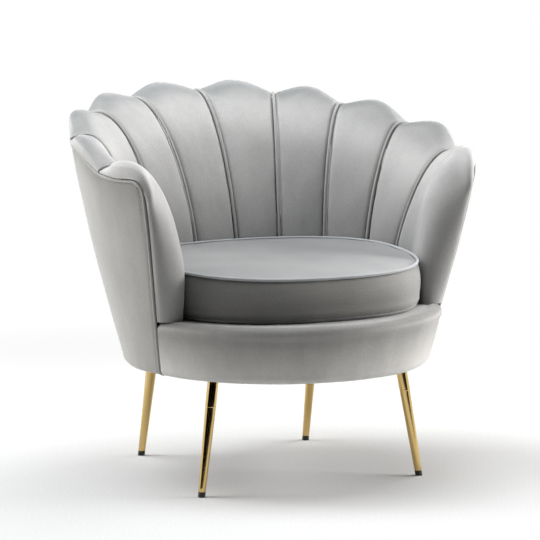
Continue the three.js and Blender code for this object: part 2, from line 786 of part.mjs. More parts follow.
function cushionBody() {
  const rebate = cordRoom + cordSink;
  const rings = [];
  const ringAt = (inset, heightOf) => rings.push(cushionRing((angle) => (
    polar(angle, cushionRadius(angle) - inset, heightOf(angle)))));
  rings.push(cushionRing((angle) => polar(angle, cushionRadius(angle) * undersideShare, seatLevel)));
  ringAt(2 * cushionEdge, () => seatLevel);
  ringAt(rebate, () => lowSeamHeight - cordRoom);
  ringAt(rebate, () => lowSeamHeight + cordRoom);
  ringAt(0, () => lowSeamHeight + cordRoom);
  for (const share of bandShares) {
    const bulge = cushionBulge * archShape(share, bandFullness);
    ringAt(-bulge, (angle) => lerp(lowSeamHeight, seamHeight(angle), share));
  }
  ringAt(0, (angle) => seamHeight(angle) - cordRoom);
  ringAt(rebate, (angle) => seamHeight(angle) - cordRoom);
  ringAt(rebate, (angle) => seamHeight(angle) + cordRadius / 2);
  for (const share of crownShares) {
    rings.push(cushionRing((angle) => {
      const crown = cordRadius / 2 + cushionCrown * (1 - share ** 2);
      const height = lerp(seamPlane(0), seamHeight(angle), share) + crown;
      return polar(angle, (cushionRadius(angle) - rebate) * share, height);
    }));
  }
  return loft(rings, (ring) => ring.map((point) => new THREE.Vector2(point.x, point.y)));
}

// A cord round the cushion, its ends meeting at the rear.
function cushionCord(heightOf) {
  const radius = (angle) => cushionRadius(angle) - cordSink;
  const endGap = degreesOf(fit, cushionRadius(0));
  const points = range(ringSides + holeSides).map((share) => {
    const angle = lerp(endGap, fullTurn - endGap, share);
    return polar(angle, radius(angle), heightOf(angle));
  });
  return cord(points);
}

// The pieces

const bolts = corners.map((corner) => ({ ...topPlace(corner), radius: studRadius + fit }));
const plateHoles = corners.map((corner) => ({ ...topPlace(corner), radius: plateRadius + fit }));

const board = flatRing(boardRadius, boardOpening, boardThickness, bolts);
const cover = flatRing(boardRadius - panelThickness, 0, dustCoverThickness, plateHoles);
const rail = flatRing(railRadius, railRadius - railThickness, ringLevel - fit - frameFoot);
const webbingRing = flatRing(railRadius, railRadius - ringWidth, boardThickness);
add('base_board', board, 'plywood').position.z = boardHeight;
add('dust_cover', cover, 'dustCover').position.z = boardHeight - fit - dustCoverThickness;
add('seat_rail', rail, 'plywood').position.z = frameFoot;
add('webbing_ring', webbingRing, 'plywood').position.z = ringLevel;

for (const step of [-1, 0, 1]) {
  add(`webbing_along_${step + 2}`, strap(step * webbingSpacing, webbingLevel, false), 'webbing');
}
for (const step of [-1, 0, 1]) {
  add(`webbing_across_${step + 2}`, strap(step * webbingSpacing, crossLevel, true), 'webbing');
}

add('seat_deck', flatRing(deckRadius, 0, deckHeight - deckBottom), 'velvetSide').position.z = deckBottom;
add('back_hoop', backHoop(), 'plywood');
add('arm_post_right', post(armPostAngle), 'plywood');
add('arm_post_left', post(-armPostAngle), 'plywood');
add('back_post_right', post(backPostAngle), 'plywood');
add('back_post_centre', post(0), 'plywood');
add('back_post_left', post(-backPostAngle), 'plywood');

for (const mirrored of [1, -1]) {
  const side = mirrored > 0 ? 'right' : 'left';
  for (let index = 0; index < lastSeam; index += 1) {
    add(`channel_${side}_${index + 1}`, channel(index, mirrored), 'velvet');
  }
  add(`channel_${side}_arm`, armChannel(mirrored), 'velvet');
  for (let index = 1; index <= lastSeam; index += 1) {
    add(`piping_${side}_${index}`, cord(seamPath(index, mirrored)), 'cord');
  }
}
add('piping_centre', cord(seamPath(0, 1)), 'cord');

add('outer_panel', outerPanel(), 'velvet');
add('outer_welt', cord(weltPath()), 'cord');
add('front_border', frontBorder(), 'velvetSide');

add('seat_cushion', cushionBody(), 'cushionVelvet');
add('cushion_cord_top', cushionCord(seamHeight), 'cord');
add('cushion_cord_bottom', cushionCord(() => lowSeamHeight), 'cord');

for (const corner of corners) {
  add(`leg_${corner.name}`, leg(corner), 'gold');
  add(`leg_plate_${corner.name}`, legPlate(corner), 'steel');
  add(`glide_${corner.name}`, glide(corner), 'rubber');
}

// Stands the chair over the origin by its own front and rear.
chair.position.y = -new THREE.Box3().setFromObject(chair).getCenter(new THREE.Vector3()).y;

export default chair;
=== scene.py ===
import math

import bmesh
import bpy
import numpy as np
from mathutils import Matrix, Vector


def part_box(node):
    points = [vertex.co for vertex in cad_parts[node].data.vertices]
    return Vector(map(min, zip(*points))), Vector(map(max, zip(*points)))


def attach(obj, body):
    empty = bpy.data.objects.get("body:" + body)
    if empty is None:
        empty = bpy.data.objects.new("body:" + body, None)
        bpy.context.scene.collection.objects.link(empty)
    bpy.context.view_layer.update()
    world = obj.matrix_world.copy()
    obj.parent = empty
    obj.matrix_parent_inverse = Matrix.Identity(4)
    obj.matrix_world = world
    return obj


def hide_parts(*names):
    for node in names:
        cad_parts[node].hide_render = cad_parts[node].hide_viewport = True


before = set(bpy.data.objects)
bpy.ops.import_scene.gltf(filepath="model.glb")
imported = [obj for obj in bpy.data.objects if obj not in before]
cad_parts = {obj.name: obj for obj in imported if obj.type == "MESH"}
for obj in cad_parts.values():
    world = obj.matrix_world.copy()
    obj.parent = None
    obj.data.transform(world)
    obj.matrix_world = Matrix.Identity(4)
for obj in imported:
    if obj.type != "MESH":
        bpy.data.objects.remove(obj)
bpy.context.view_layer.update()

# Sizes of the chair, in millimetres. Angles are degrees from the rear, positive to +X,
# round the upright axis through the middle of the seat.

MM = 0.001
deck_low, deck_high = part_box("seat_deck")
AXIS_Y = (deck_low.y + deck_high.y) / 2

# Heights
FOOT = 226
DECK = 335.7
SEAT = 336
LEAN = 440
RIM_HEIGHT = 700
BACK_CREST = 734
SIDE_CREST = 639

# Outer shell, and the inner wall at the seat
SHELL_FOOT = 303
SHELL_RIM = 410
BOW = 6
FOOT_EDGE = 16
LIP = 285
INSIDE_REAR = 189
INSIDE_SIDE = 278
INSIDE_FRONT = 272
SQUARENESS = 2.4

# Seams, from the middle of the back to the arm
SEAT_SEAMS = [0, 27, 49.5, 68.5, 87]
CREST_SEAMS = [0, 24.3, 45.9, 69, 96]
LAST = 4
ARM_CREST = 104

# Petals and the roll over the crest
ROLL = 34
RISE_BACK = 16
RISE_ARM = 25
PETAL_REACH = 20
PETAL_LIP = 3.5
SEAT_HOLLOW = 5
HOLLOW_FULLNESS = 0.75
STRAIGHT_LEAN = 0.32
ARM_CORNER = 33
ARM_CORNER_ROOM = 9
ARM_BULGE = 22
PADDING = 28.7

# Outer welt, and how far it lies below the crest
WELT_FOOT = 106.4
WELT_TOP = 114.7
WELT_CORNER = 26
WELT_HALF = 2.8
WELT_ROOM = 3.2
WELT_GAP = 2.3
DROP_SEAM = 16
DROP_PETAL = 25
DROP_ARM = 33

# Pipings and stitches
CORD = 3
CORD_ROUND = 3.1
CORD_SINK = -0.6
CORD_ROOM = 2.7
CORD_END = 0.6
CORD_UNEVEN = 0.03
STITCH_INSET = 9
STITCH = 0.6

# Front border, and the room between pieces that touch
FRONT_ROLL = 16
FIT = 0.3

# Meshes: angles over which an edge is sharp, and the least lengths, in metres
EDGE_SHARP = 50
ROUND_SHARP = 70
MERGE = 1e-5
TINY = 1e-12
NEARLY_UPRIGHT = 0.2


def lerp(a, b, t):
    return a + (b - a) * t


def smooth(low, high, value):
    """0 below low, 1 above high, and an even curve between."""
    t = unit((value - low) / (high - low))
    return t * t * (3 - 2 * t)


def polar(angle, radius, height):
    """Points in the frame, in metres, from degrees and millimetres."""
    turn = np.radians(angle)
    x, y = radius * np.sin(turn) * MM, radius * np.cos(turn) * MM + AXIS_Y
    return np.stack(np.broadcast_arrays(x, y, height * MM), axis=-1)


def to_polar(points):
    """Degrees and millimetres, from points in the frame."""
    x, y = points[:, 0] / MM, (points[:, 1] - AXIS_Y) / MM
    return np.degrees(np.arctan2(x, y)), np.hypot(x, y), points[:, 2] / MM


def cos_of(angle):
    return np.cos(np.radians(angle))


def sin_of(angle):
    return np.sin(np.radians(angle))


def degrees_of(length, radius):
    return np.degrees(length / radius)


def fade(low, high, value):
    """1 below low, 0 above high."""
    return 1 - smooth(low, high, value)


def unit(value):
    return np.clip(value, 0, 1)


def bell(value, middle, width):
    """1 at the middle, falling off evenly on both sides."""
    return np.exp(-((value - middle) / width) ** 2)


def half_turn(count):
    """Shares from 0 to 1 that lie closer together near both ends."""
    return (1 - np.cos(np.linspace(0, np.pi, count))) / 2


def side_name(side):
    """A side is 1 for right and -1 for left."""
    return "right" if side > 0 else "left"


# Lines of the chair

def shell_radius(height):
    start = FOOT + FOOT_EDGE
    share = (height - start) / (RIM_HEIGHT - start)
    below = np.clip(start - height, 0, FOOT_EDGE)
    rounded = SHELL_FOOT - FOOT_EDGE + np.sqrt(FOOT_EDGE ** 2 - below ** 2)
    flared = lerp(SHELL_FOOT, SHELL_RIM, share) + BOW * np.sin(np.pi * share)
    return np.where(share < 0, rounded, flared)


def inside_radius(angle, inset=0.0):
    cos, sin = cos_of(angle), sin_of(angle)
    depth = np.where(cos > 0, INSIDE_REAR, INSIDE_FRONT) - inset
    across = np.abs(sin / (INSIDE_SIDE - inset)) ** SQUARENESS
    along = np.abs(cos / depth) ** SQUARENESS
    return (across + along) ** (-1 / SQUARENESS)


def crest_height(angle):
    return lerp(SIDE_CREST, BACK_CREST, cos_of(np.minimum(np.abs(angle), ARM_CREST)))


def petal_rise(angle):
    return lerp(RISE_BACK, RISE_ARM, (1 - cos_of(angle)) / (1 - cos_of(WELT_TOP)))


def arch(across, fullness):
    return np.sin(np.pi * unit(across)) ** fullness


def seam_angle(index, up):
    if index > LAST:
        return WELT_TOP + 0 * up
    return lerp(SEAT_SEAMS[index], CREST_SEAMS[index], unit(up))


def across_petal(angle):
    """Where an angle at the crest lies in its petal, 0 to 1."""
    edges = np.array(CREST_SEAMS + [WELT_TOP])
    index = np.clip(np.searchsorted(edges, np.abs(angle), side="left") - 1, 0, LAST)
    return (np.abs(angle) - edges[index]) / (edges[index + 1] - edges[index])


def welt_angle(height):
    top = crest_height(WELT_TOP) - DROP_SEAM
    share = unit((height - FOOT) / (top - FOOT))
    return lerp(WELT_FOOT, WELT_TOP, np.sin(share * np.pi / 2))


def welt_height(angle):
    size = np.abs(angle)
    on_arm = size > CREST_SEAMS[LAST]
    across = across_petal(size)
    shape = arch(np.where(on_arm, np.minimum(across, 0.5), across), 2)
    crest = crest_height(size) + petal_rise(size) * shape
    drop = lerp(DROP_SEAM, np.where(on_arm, DROP_ARM, DROP_PETAL), shape)
    return crest - drop - corner_drop(size, WELT_CORNER, 0)


def corner_drop(angle, radius, room):
    """How far a rounded corner at the arm's front lies below its level line."""
    from_end = np.radians(WELT_TOP - np.abs(angle)) * SHELL_RIM + room
    share = unit(1 - from_end / radius)
    return radius * (1 - np.sqrt(1 - share ** 2))


def wall_share(level):
    return np.sin(np.minimum(level, 1) * np.pi / 2)


def wall_point(angle, across, level, rise):
    """Radius and height on the inner wall (level 0 to 1) and over the roll (1 to 2)."""
    petal = arch(across, 2)
    crest = crest_height(angle) + petal_rise(angle) * arch(rise, 2)
    crest = crest - corner_drop(angle, ARM_CORNER, ARM_CORNER_ROOM)
    low = inside_radius(angle) - SEAT_HOLLOW * arch(across, HOLLOW_FULLNESS)
    crest_radius = shell_radius(crest) - ROLL + PETAL_REACH * petal
    turn = np.minimum(level, 1) * np.pi / 2
    lean = lerp(1 - np.cos(turn), np.sin(turn), STRAIGHT_LEAN)
    over = unit(level - 1) * np.pi / 2
    edge = welt_height(angle) + CORD + WELT_GAP
    radius = np.where(level <= 1, lerp(low, crest_radius, lean),
                      lerp(crest_radius, shell_radius(edge) + PETAL_LIP * petal, np.sin(over)))
    height = np.where(level <= 1, lerp(LEAN, crest, np.sin(turn)), lerp(edge, crest, np.cos(over)))
    return radius, height


# Gentle unevenness

WAVE_COUNT = 7
WAVE_REACH = (0.7, 1.5)
WAVE_START = (0, 6.28)
WAVE_CALM = 4


def waves(points, size, seed):
    """A soft uneven value from -1 to 1 at each point, with bumps about as wide as size (m)."""
    random = np.random.default_rng(seed)
    total = np.zeros(points.shape[:-1])
    for _ in range(WAVE_COUNT):
        direction = random.normal(size=3)
        direction /= np.linalg.norm(direction)
        reach = size * random.uniform(*WAVE_REACH)
        total += np.sin(points @ direction * 2 * np.pi / reach + random.uniform(*WAVE_START))
    return total / WAVE_CALM


# Meshes

def link(name, data):
    """Puts new data on the scene as an object of that name."""
    piece = bpy.data.objects.new(name, data)
    bpy.context.scene.collection.objects.link(piece)
    return piece


def loft(name, rings, sharp=EDGE_SHARP, closed=False):
    """A body through rings of equal length; closed joins its last ring to its first."""
    count, size = rings.shape[:2]
    faces = []
    for ring in range(count if closed else count - 1):
        here, after = ring * size, (ring + 1) % count * size
        for i in range(size):
            j = (i + 1) % size
            faces.append((here + i, here + j, after + j, after + i))
    if not closed:
        faces += [tuple(range(size)), tuple(range((count - 1) * size, count * size))]
    mesh = bpy.data.meshes.new(name)
    mesh.from_pydata(rings.reshape(-1, 3).tolist(), [], faces)
    work = bmesh.new()
    work.from_mesh(mesh)
    bmesh.ops.remove_doubles(work, verts=work.verts, dist=MERGE)
    bmesh.ops.triangulate(work, faces=[f for f in work.faces if len(f.verts) > 4])
    bmesh.ops.recalc_face_normals(work, faces=work.faces)
    work.to_mesh(mesh)
    work.free()
    mesh.shade_smooth()
    mesh.set_sharp_from_angle(angle=math.radians(sharp))
    return link(name, mesh)


def tube(name, path, radius=CORD_ROUND, sides=12, closed=False, wobble=0.0, seed=0):
    """A cord along a path of points; closed joins its end to its start."""
    if closed:
        along = np.roll(path, -1, axis=0) - np.roll(path, 1, axis=0)
    else:
        along = np.gradient(path, axis=0)
    along /= np.linalg.norm(along, axis=1, keepdims=True)
    side = np.cross(along[0], [0.0, 0.0, 1.0])
    if np.linalg.norm(side) < NEARLY_UPRIGHT:
        side = np.cross(along[0], [1.0, 0.0, 0.0])
    first = []
    for direction in along:
        side = side - direction * (side @ direction)
        side = side / np.linalg.norm(side)
        first.append(side)
    first = np.array(first)
    second = np.cross(along, first)
    turns = np.linspace(0, 2 * np.pi, sides, endpoint=False)
    size = radius * MM + wobble * MM * waves(path, CORD_UNEVEN, seed)
    if not closed:
        size[[0, -1]] *= CORD_END
    round_it = (np.cos(turns)[None, :, None] * first[:, None]
                + np.sin(turns)[None, :, None] * second[:, None])
    return loft(name, path[:, None] + size[:, None, None] * round_it, ROUND_SHARP, closed)


# Materials

def linear(colour):
    """A colour given as 0 to 255 on the screen, as shader values."""
    values = [c / 255 for c in colour]
    return [c / 12.92 if c <= 0.04045 else ((c + 0.055) / 1.055) ** 2.4 for c in values] + [1.0]


class Tree:
    """Nodes of a material or of the surroundings, joined step by step."""

    def __init__(self, tree):
        self.nodes, self.links = tree.nodes, tree.links

    def add(self, kind, value=None, **constants):
        """A new node with constants on its sockets, its first one fed by a value."""
        node = self.nodes.new("ShaderNode" + kind)
        self.settle(node, constants)
        if value is not None:
            self.links.new(value, node.inputs[0])
        return node

    def settle(self, node, constants):
        for socket, value in constants.items():
            node.inputs[socket.replace("_", " ")].default_value = value

    def spread(self, value, low, high, start=0.3, end=0.7):
        """Stretches a value from start and end to low and high."""
        limits = {"From_Min": start, "From_Max": end, "To_Min": low, "To_Max": high}
        return self.add("MapRange", value, **limits).outputs["Result"]

    def fill(self, sockets, values):
        """Sets each socket to its number or colour, or links it to its node."""
        for socket, value in zip(sockets, values):
            if isinstance(value, (int, float, list)):
                socket.default_value = value
            else:
                self.links.new(value, socket)

    def sum(self, first, second, kind="ADD"):
        node = self.add("Math")
        node.operation = kind
        self.fill(node.inputs, (first, second))
        return node.outputs["Value"]

    def seen_directly(self):
        """1 for what the camera, a mirror or glass sees, 0 for what only lights."""
        path = self.add("LightPath").outputs
        seen = self.sum(path["Is Camera Ray"], path["Is Glossy Ray"], "MAXIMUM")
        return self.sum(seen, path["Is Transmission Ray"], "MAXIMUM")


class Look(Tree):
    """One material, built from nodes placed by the frame's own coordinates."""

    def __init__(self, name, **constants):
        self.material = bpy.data.materials.new(name)
        self.material.use_nodes = True
        super().__init__(self.material.node_tree)
        self.shader = self.nodes["Principled BSDF"]
        self.place = self.add("TexCoord").outputs["Object"]
        self.settle(self.shader, constants)

    def noise(self, scale, detail, roughness=0.5, stretch=(1, 1, 1)):
        place = self.add("Mapping", self.place, Scale=stretch).outputs["Vector"]
        node = self.add("TexNoise", place, Scale=scale, Detail=detail, Roughness=roughness)
        return node.outputs["Fac"]

    def wave(self, scale, direction, distortion=0.0):
        node = self.add("TexWave", self.place, Scale=scale, Distortion=distortion)
        node.bands_direction = direction
        return node.outputs["Fac"]

    def attribute(self, name):
        node = self.add("Attribute")
        node.attribute_name = name
        return node.outputs["Fac"]

    def mix(self, share, first, second, kind="MIX"):
        node = self.add("Mix")
        node.data_type = "RGBA"
        node.blend_type = kind
        self.fill((node.inputs[0], node.inputs[6], node.inputs[7]), (share, first, second))
        return node.outputs[2]

    def tone(self, value, dark, light):
        """A colour between a dark and a light one."""
        return self.mix(self.spread(value, 0, 1), linear(dark), linear(light))

    def bump(self, height, strength, distance, under=None):
        node = self.add("Bump", Strength=strength, Distance=distance)
        self.links.new(height, node.inputs["Height"])
        if under is not None:
            self.links.new(under, node.inputs["Normal"])
        return node.outputs["Normal"]

    def finish(self, colour, roughness, normal):
        """The material, with its colour, roughness and unevenness joined to it."""
        for socket, value in (("Base Color", colour), ("Roughness", roughness), ("Normal", normal)):
            self.links.new(value, self.shader.inputs[socket])
        return self.material


# Velvet: noises as scale, detail and roughness, and what each of them does
PATCHES, PATCHES_SHARE = (9, 3, 0.55), 0.6
BRUSHED, BRUSHED_SHARE = (38, 3, 0.6), 0.4
NAP, NAP_SHARE, NAP_TONE = (430, 3, 0.7), 0.5, 0.8
PILE_CONTRAST = 0.10
PILE_ROUGHNESS = (0.6, 0.74)
BRUSHED_BUMP = (0.3, 0.0016)
NAP_BUMP = (0.5, 0.0009)


def velvet(name, colour, contrast=1.0, streak=(1, 1, 0.25), above=(183, 187, 190)):
    """Short-pile velvet: brushed patches and a fine nap. Points marked "turned" get painted shade,
    tinted cooler by the colour "above", and points marked "shade" get painted shade, or painted light
    below 0."""
    look = Look(name, Sheen_Weight=0.5, Sheen_Roughness=0.42, Sheen_Tint=(1, 1, 1, 1),
                Specular_IOR_Level=0.35)
    base = linear(colour)
    dark = [c * (1 - PILE_CONTRAST * contrast) for c in base[:3]] + [1.0]
    light = [min(c * (1 + PILE_CONTRAST * contrast), 1) for c in base[:3]] + [1.0]
    patches = look.noise(*PATCHES)
    brushed = look.noise(*BRUSHED, streak)
    nap = look.noise(*NAP)
    tone = look.sum(look.sum(look.spread(patches, 0, 1), PATCHES_SHARE, "MULTIPLY"),
                    look.sum(look.spread(brushed, 0, 1), BRUSHED_SHARE, "MULTIPLY"))
    cloth = look.mix(tone, dark, light)
    cloth = look.mix(look.spread(nap, 0.0, NAP_SHARE), cloth, linear([c * NAP_TONE for c in colour]))
    # Painted shade with a cooler tint where a piece is marked "turned"
    cloth = look.mix(look.attribute("turned"), cloth, look.mix(1.0, cloth, linear(above), "MULTIPLY"))
    # Painted shade where marked "shade", and painted light below 0
    pile = look.sum(1.0, look.attribute("shade"), "SUBTRACT")
    return look.finish(look.mix(1.0, cloth, pile, "MULTIPLY"), look.spread(nap, *PILE_ROUGHNESS),
                       look.bump(nap, *NAP_BUMP, look.bump(brushed, *BRUSHED_BUMP)))


def polished_gold():
    look = Look("gold_leg", Metallic=1.0)
    cast = look.noise(26, 2, 0.5, (1, 1, 0.1))
    fine = look.noise(900, 2, 0.6, (1, 1, 0.04))
    return look.finish(look.tone(cast, (202, 172, 112), (215, 187, 128)),
                       look.spread(fine, 0.10, 0.17), look.bump(cast, 0.04, 0.001))


def brushed_steel():
    look = Look("steel_plate", Metallic=1.0)
    grain = look.noise(260, 3, 0.6, (1, 0.1, 1))
    return look.finish(look.tone(grain, (150, 152, 155), (182, 184, 186)),
                       look.spread(grain, 0.28, 0.48), look.bump(grain, 0.2, 0.0004))


def moulded_rubber():
    look = Look("glide", Specular_IOR_Level=0.4)
    grain = look.noise(1400, 2, 0.6)
    scuff = look.noise(90, 3, 0.6)
    return look.finish(look.tone(scuff, (24, 22, 21), (40, 37, 35)),
                       look.spread(scuff, 0.38, 0.6), look.bump(grain, 0.3, 0.0003))


def plywood():
    """Veneer with a grain, and the darker lines of its plies."""
    look = Look("plywood", Specular_IOR_Level=0.3)
    grain = look.noise(30, 4, 0.6, (1, 7, 1))
    plies = look.wave(420, "Z", 0.6)
    wood = look.tone(grain, (186, 148, 102), (219, 186, 140))
    return look.finish(look.mix(look.spread(plies, 0, 0.35), wood, linear((140, 104, 68))),
                       look.spread(grain, 0.6, 0.8), look.bump(grain, 0.3, 0.0006))


def woven(name, dark, light, scale, spots=0.0):
    """A plain weave, or with spots the dimpled bonded cloth of a dust cover."""
    look = Look(name, Specular_IOR_Level=0.2)
    weave = look.sum(look.wave(scale, "X"), look.wave(scale, "Y"), "MULTIPLY")
    fibre = look.noise(340, 3, 0.7)
    cloth = look.tone(fibre, dark, light)
    return look.finish(look.mix(look.spread(weave, spots, 0.5, 0, 1), cloth, linear(dark)),
                       look.spread(fibre, 0.8, 0.95),
                       look.bump(weave, 0.5, 0.0008, look.bump(fibre, 0.3, 0.0005)))


# One velvet in several tones: the cushion's darker cloth holds painted shade, and the cushion's lighter
# piping a painted highlight
INNER = velvet("inner_velvet", (166, 165, 164))
OUTER = velvet("outer_velvet", (156, 154, 151), contrast=1.3)
BORDER = velvet("border_velvet", (163, 161, 158), contrast=1.5)
SEAT_CLOTH = velvet("cushion_velvet", (132, 131, 128), contrast=1.5,
                    streak=(0.3, 0.3, 2.2), above=(172, 182, 210))
PIPING = velvet("piping", (158, 157, 155), contrast=0.6)
CUSHION_PIPING = velvet("cushion_piping", (170, 172, 175), contrast=0.6)
THREAD = velvet("stitch", (84, 82, 79), contrast=0.6)
DECK_CLOTH = velvet("deck_cloth", (138, 137, 136))


def finish_piece(piece, material, body, node):
    """Gives a piece its material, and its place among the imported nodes."""
    piece.data.materials.clear()
    piece.data.materials.append(material)
    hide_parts(node)
    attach(piece, body)


def mark(piece, name, values):
    """Gives each point of a piece a value that its material reads."""
    attribute = piece.data.attributes.new(name, "FLOAT", "POINT")
    attribute.data.foreach_set("value", np.asarray(values, np.float32))


# Padding

SWELL_WIDTH = 16
FADE_ROWS = 12


def swell(distance, rise, dip, dip_width):
    """How far padding stands proud of a seam, in millimetres, by the distance from it."""
    return rise * (1 - np.exp(-distance / SWELL_WIDTH)) - dip * bell(distance, 0, dip_width)


def puffed(grid, amount, row, column, away):
    """A grid moved along its normals, which at one point face away (1) or to the seat (-1)."""
    out = np.cross(np.gradient(grid, axis=0), np.gradient(grid, axis=1))
    out /= np.maximum(np.linalg.norm(out, axis=-1, keepdims=True), TINY)
    from_axis = (grid[row, column] - [0, AXIS_Y, 0]) * [1, 1, 0]
    if out[row, column] @ from_axis * away < 0:
        out = -out
    return grid + out * amount[..., None] * MM


# Channels: rows of points up the wall and over the roll, under the wall, and columns
LEVELS = np.r_[np.linspace(0, 1, 40), np.linspace(1, 2, 22)[1:]]
UNDER = np.linspace(SEAT, LEAN, 7)[:-1]
COLUMNS = 31
BACK_ROWS = 6
FACING_ROW = 12

# The back of a channel: below the crest, over the wooden hoop
EDGE_STEP = 1.5
EDGE_LEAST = 0.5
HOOP_LIFT = 0.2
HOOP_ROOM = 1.6

# Padding of a channel: height, dip and its width; unevenness as depth, width in metres and seed
PLUSH = (5.2, 3.4, 3.6)
UNEVEN = ((0.7, 0.09, 0), (0.25, 0.03, 50))

# Painted shade with a cooler tint where a channel faces up: from and to, in metres, upward share and
# degrees
PAINTED_TOP_HEIGHT = (0.5, 0.62)
PAINTED_TOP_SLOPE = (0.72, 0.98)
PAINTED_TOP_OUTWARD = 0.35
PAINTED_TOP_ARM, PAINTED_TOP_REAR = 0.4, 1.2
PAINTED_TOP_END = (84, 101)

# Painted shade and painted light: share, then from and to in degrees or millimetres, or for a band
# its middle and width
# Painted shade low down, more by the arms and less at their fronts
DEEP_REAR, DEEP_ARM, DEEP_TOP = 0.14, 0.34, (340, 520)
DEEP_LOSS, DEEP_END = 0.8, (103, 110)
# Painted shade low on the arms' inner walls
CORNER, CORNER_FROM, CORNER_TOP = 0.34, (55, 95), (400, 600)
# A painted sheen: lighter in a band below the crest
PAINTED_SHEEN, PAINTED_SHEEN_BAND = 0.2, (48, 34)
# Painted shade at the arm's front, and painted light at its shoulder
ARM_FRONT = (0.1, (106, 113), (570, 36))
SHOULDER = (0.26, (92, 104), (624, 18))
# Painted shade below the crest, on the right side only
CREST, CREST_BAND, CREST_END = 0.28, (-5, 26), (88, 98)


def section(angle_at, across, rise, back_inset, edge_inset):
    """One section of a channel: radius, height and share of the wall, front then back."""
    low = wall_point(angle_at(0), across, 0.0, rise)[0]
    up = wall_share(LEVELS)
    radius, height = wall_point(angle_at(up), across, LEVELS, rise)
    under = np.zeros(len(UNDER))
    front = np.c_[np.r_[under + low, radius], np.r_[UNDER, height], np.r_[under, up]]
    edge = front[-1, 1] - EDGE_STEP
    hoop = crest_height(angle_at(1)) - DROP_SEAM + HOOP_LIFT
    heights = np.linspace(min(hoop + HOOP_ROOM, edge - EDGE_LEAST), SEAT, BACK_ROWS)
    rows = [[shell_radius(edge) - edge_inset, edge, 1]]
    rows += [[shell_radius(h) - back_inset, h, (h - SEAT) / (edge - SEAT)] for h in heights]
    return front, np.array(rows, float)


def close_body(name, fronts, backs, seams, seed):
    """Puffs the fronts of a channel out and closes them with their backs."""
    grid = np.array(fronts)
    amount = swell(np.array(seams), *PLUSH)
    for depth, width, more in UNEVEN:
        amount = amount + depth * waves(grid, width, seed + more)
    share = np.ones(grid.shape[1])
    share[:len(UNDER)] = np.linspace(0, 1, len(UNDER))
    share[-FADE_ROWS:] = np.linspace(1, 0, FADE_ROWS)
    grid = puffed(grid, amount * share[None, :], len(grid) // 2, FACING_ROW, -1)
    piece = loft("velvet_" + name, np.concatenate([grid, np.array(backs)], axis=1))
    # Paints light and shade into the channel's colour
    paint_light_and_shade(piece)
    finish_piece(piece, INNER, "chair", name)


def paint_light_and_shade(piece):
    """Paints light and shade into a channel's colour: a cooler painted shade where it faces up, painted
    shade low down, at the arm's front and below the right crest, and painted light below the crest and
    at the shoulder.
    """
    points = vertex_array(piece)
    normal = np.array([v.normal for v in piece.data.vertices])
    angle, _, height = to_polar(points)
    turn = np.abs(angle)
    below = crest_height(angle) - height
    away = points[:, :2] - [0, AXIS_Y]
    away /= np.linalg.norm(away, axis=1, keepdims=True)
    outward = unit((away * normal[:, :2]).sum(1))
    over = smooth(*PAINTED_TOP_SLOPE, normal[:, 2] + PAINTED_TOP_OUTWARD * outward)
    rear = lerp(PAINTED_TOP_ARM, PAINTED_TOP_REAR, (1 + cos_of(angle)) / 2) * fade(*PAINTED_TOP_END, turn)
    # Painted shade with a cooler tint where the channel faces up
    mark(piece, "turned", over * smooth(*PAINTED_TOP_HEIGHT, points[:, 2]) * rear)
    # Painted shade low down and low on the arms' inner walls
    low = lerp(DEEP_REAR, DEEP_ARM, (1 - cos_of(angle)) / 2) * fade(*DEEP_TOP, height)
    low = low + CORNER * smooth(*CORNER_FROM, turn) * fade(*CORNER_TOP, height)
    low *= 1 - DEEP_LOSS * smooth(*DEEP_END, turn)
    # Painted sheen in a band below the crest
    painted_sheen = PAINTED_SHEEN * bell(below, *PAINTED_SHEEN_BAND)
    # Painted shade at the arm's front, and painted light at its shoulder
    front, shoulder = [share * smooth(*start, turn) * bell(height, *band)
                       for share, start, band in (ARM_FRONT, SHOULDER)]
    # Painted shade below the crest on the right side
    right = unit(sin_of(angle)) * fade(*CREST_END, turn)
    crest = CREST * bell(below, *CREST_BAND) * right
    mark(piece, "shade", low - painted_sheen - shoulder + front + crest)


def channel(index, side):
    """One plain channel between two pipings."""
    fronts, backs, seams = [], [], []
    for across in half_turn(COLUMNS):
        angle_at = lambda up: lerp(seam_angle(index, up), seam_angle(index + 1, up), across)
        front, back = section(angle_at, across, across, PADDING, FIT)
        for rings, (radius, height, up) in ((backs, back.T), (fronts, front.T)):
            low, high = seam_angle(index, up), seam_angle(index + 1, up)
            reach = degrees_of(CORD_ROOM, radius)
            angle = np.clip(angle_at(up), low + reach, high - reach)
            rings.append(polar(side * angle, radius, height))
        seams.append(np.radians(np.minimum(angle - low, high - angle)) * radius - CORD_ROOM)
    name = f"channel_{side_name(side)}_{index + 1}"
    close_body(name, fronts, backs, seams, index * 7 + side + 1)


# Front of the arms: turn of the wall's last section, end of the wooden frame, and shares of
# the channel before the frame and on its edge
END_LOW, END_HIGH = 4, -5
FRAME_END = 101 + degrees_of(18, INSIDE_SIDE) + degrees_of(FIT, INSIDE_SIDE)
BEFORE_FRAME = 0.57
FRAME_EDGE = (0.5, 0.62)
BESIDE_FRAME = 5.1
ARM_SHARES = np.r_[np.linspace(0, 0.12, 7), np.linspace(0.16, 0.985, 24), 1]

# The round of the front, its fuller middle and how it is evened out
FRONT_TURNS = np.radians(np.linspace(0, 174, 26))
ROUND_TURN, ROUND_DEPTH = 0.9, 0.6
ROUND_FORWARD = 2.4
SPINE_EASE = 0.15
SEAM_AWAY, SEAM_LEAST = 40, 2.5
NEAR_FRONT = (14, 27)
FULLER, FULLER_BAND = 8, (568, 42)
EVEN_FROM, EVEN_ROUNDS, EVEN_STEP = (0.50, 0.58), 50, 0.8
ARM_SEED = 91


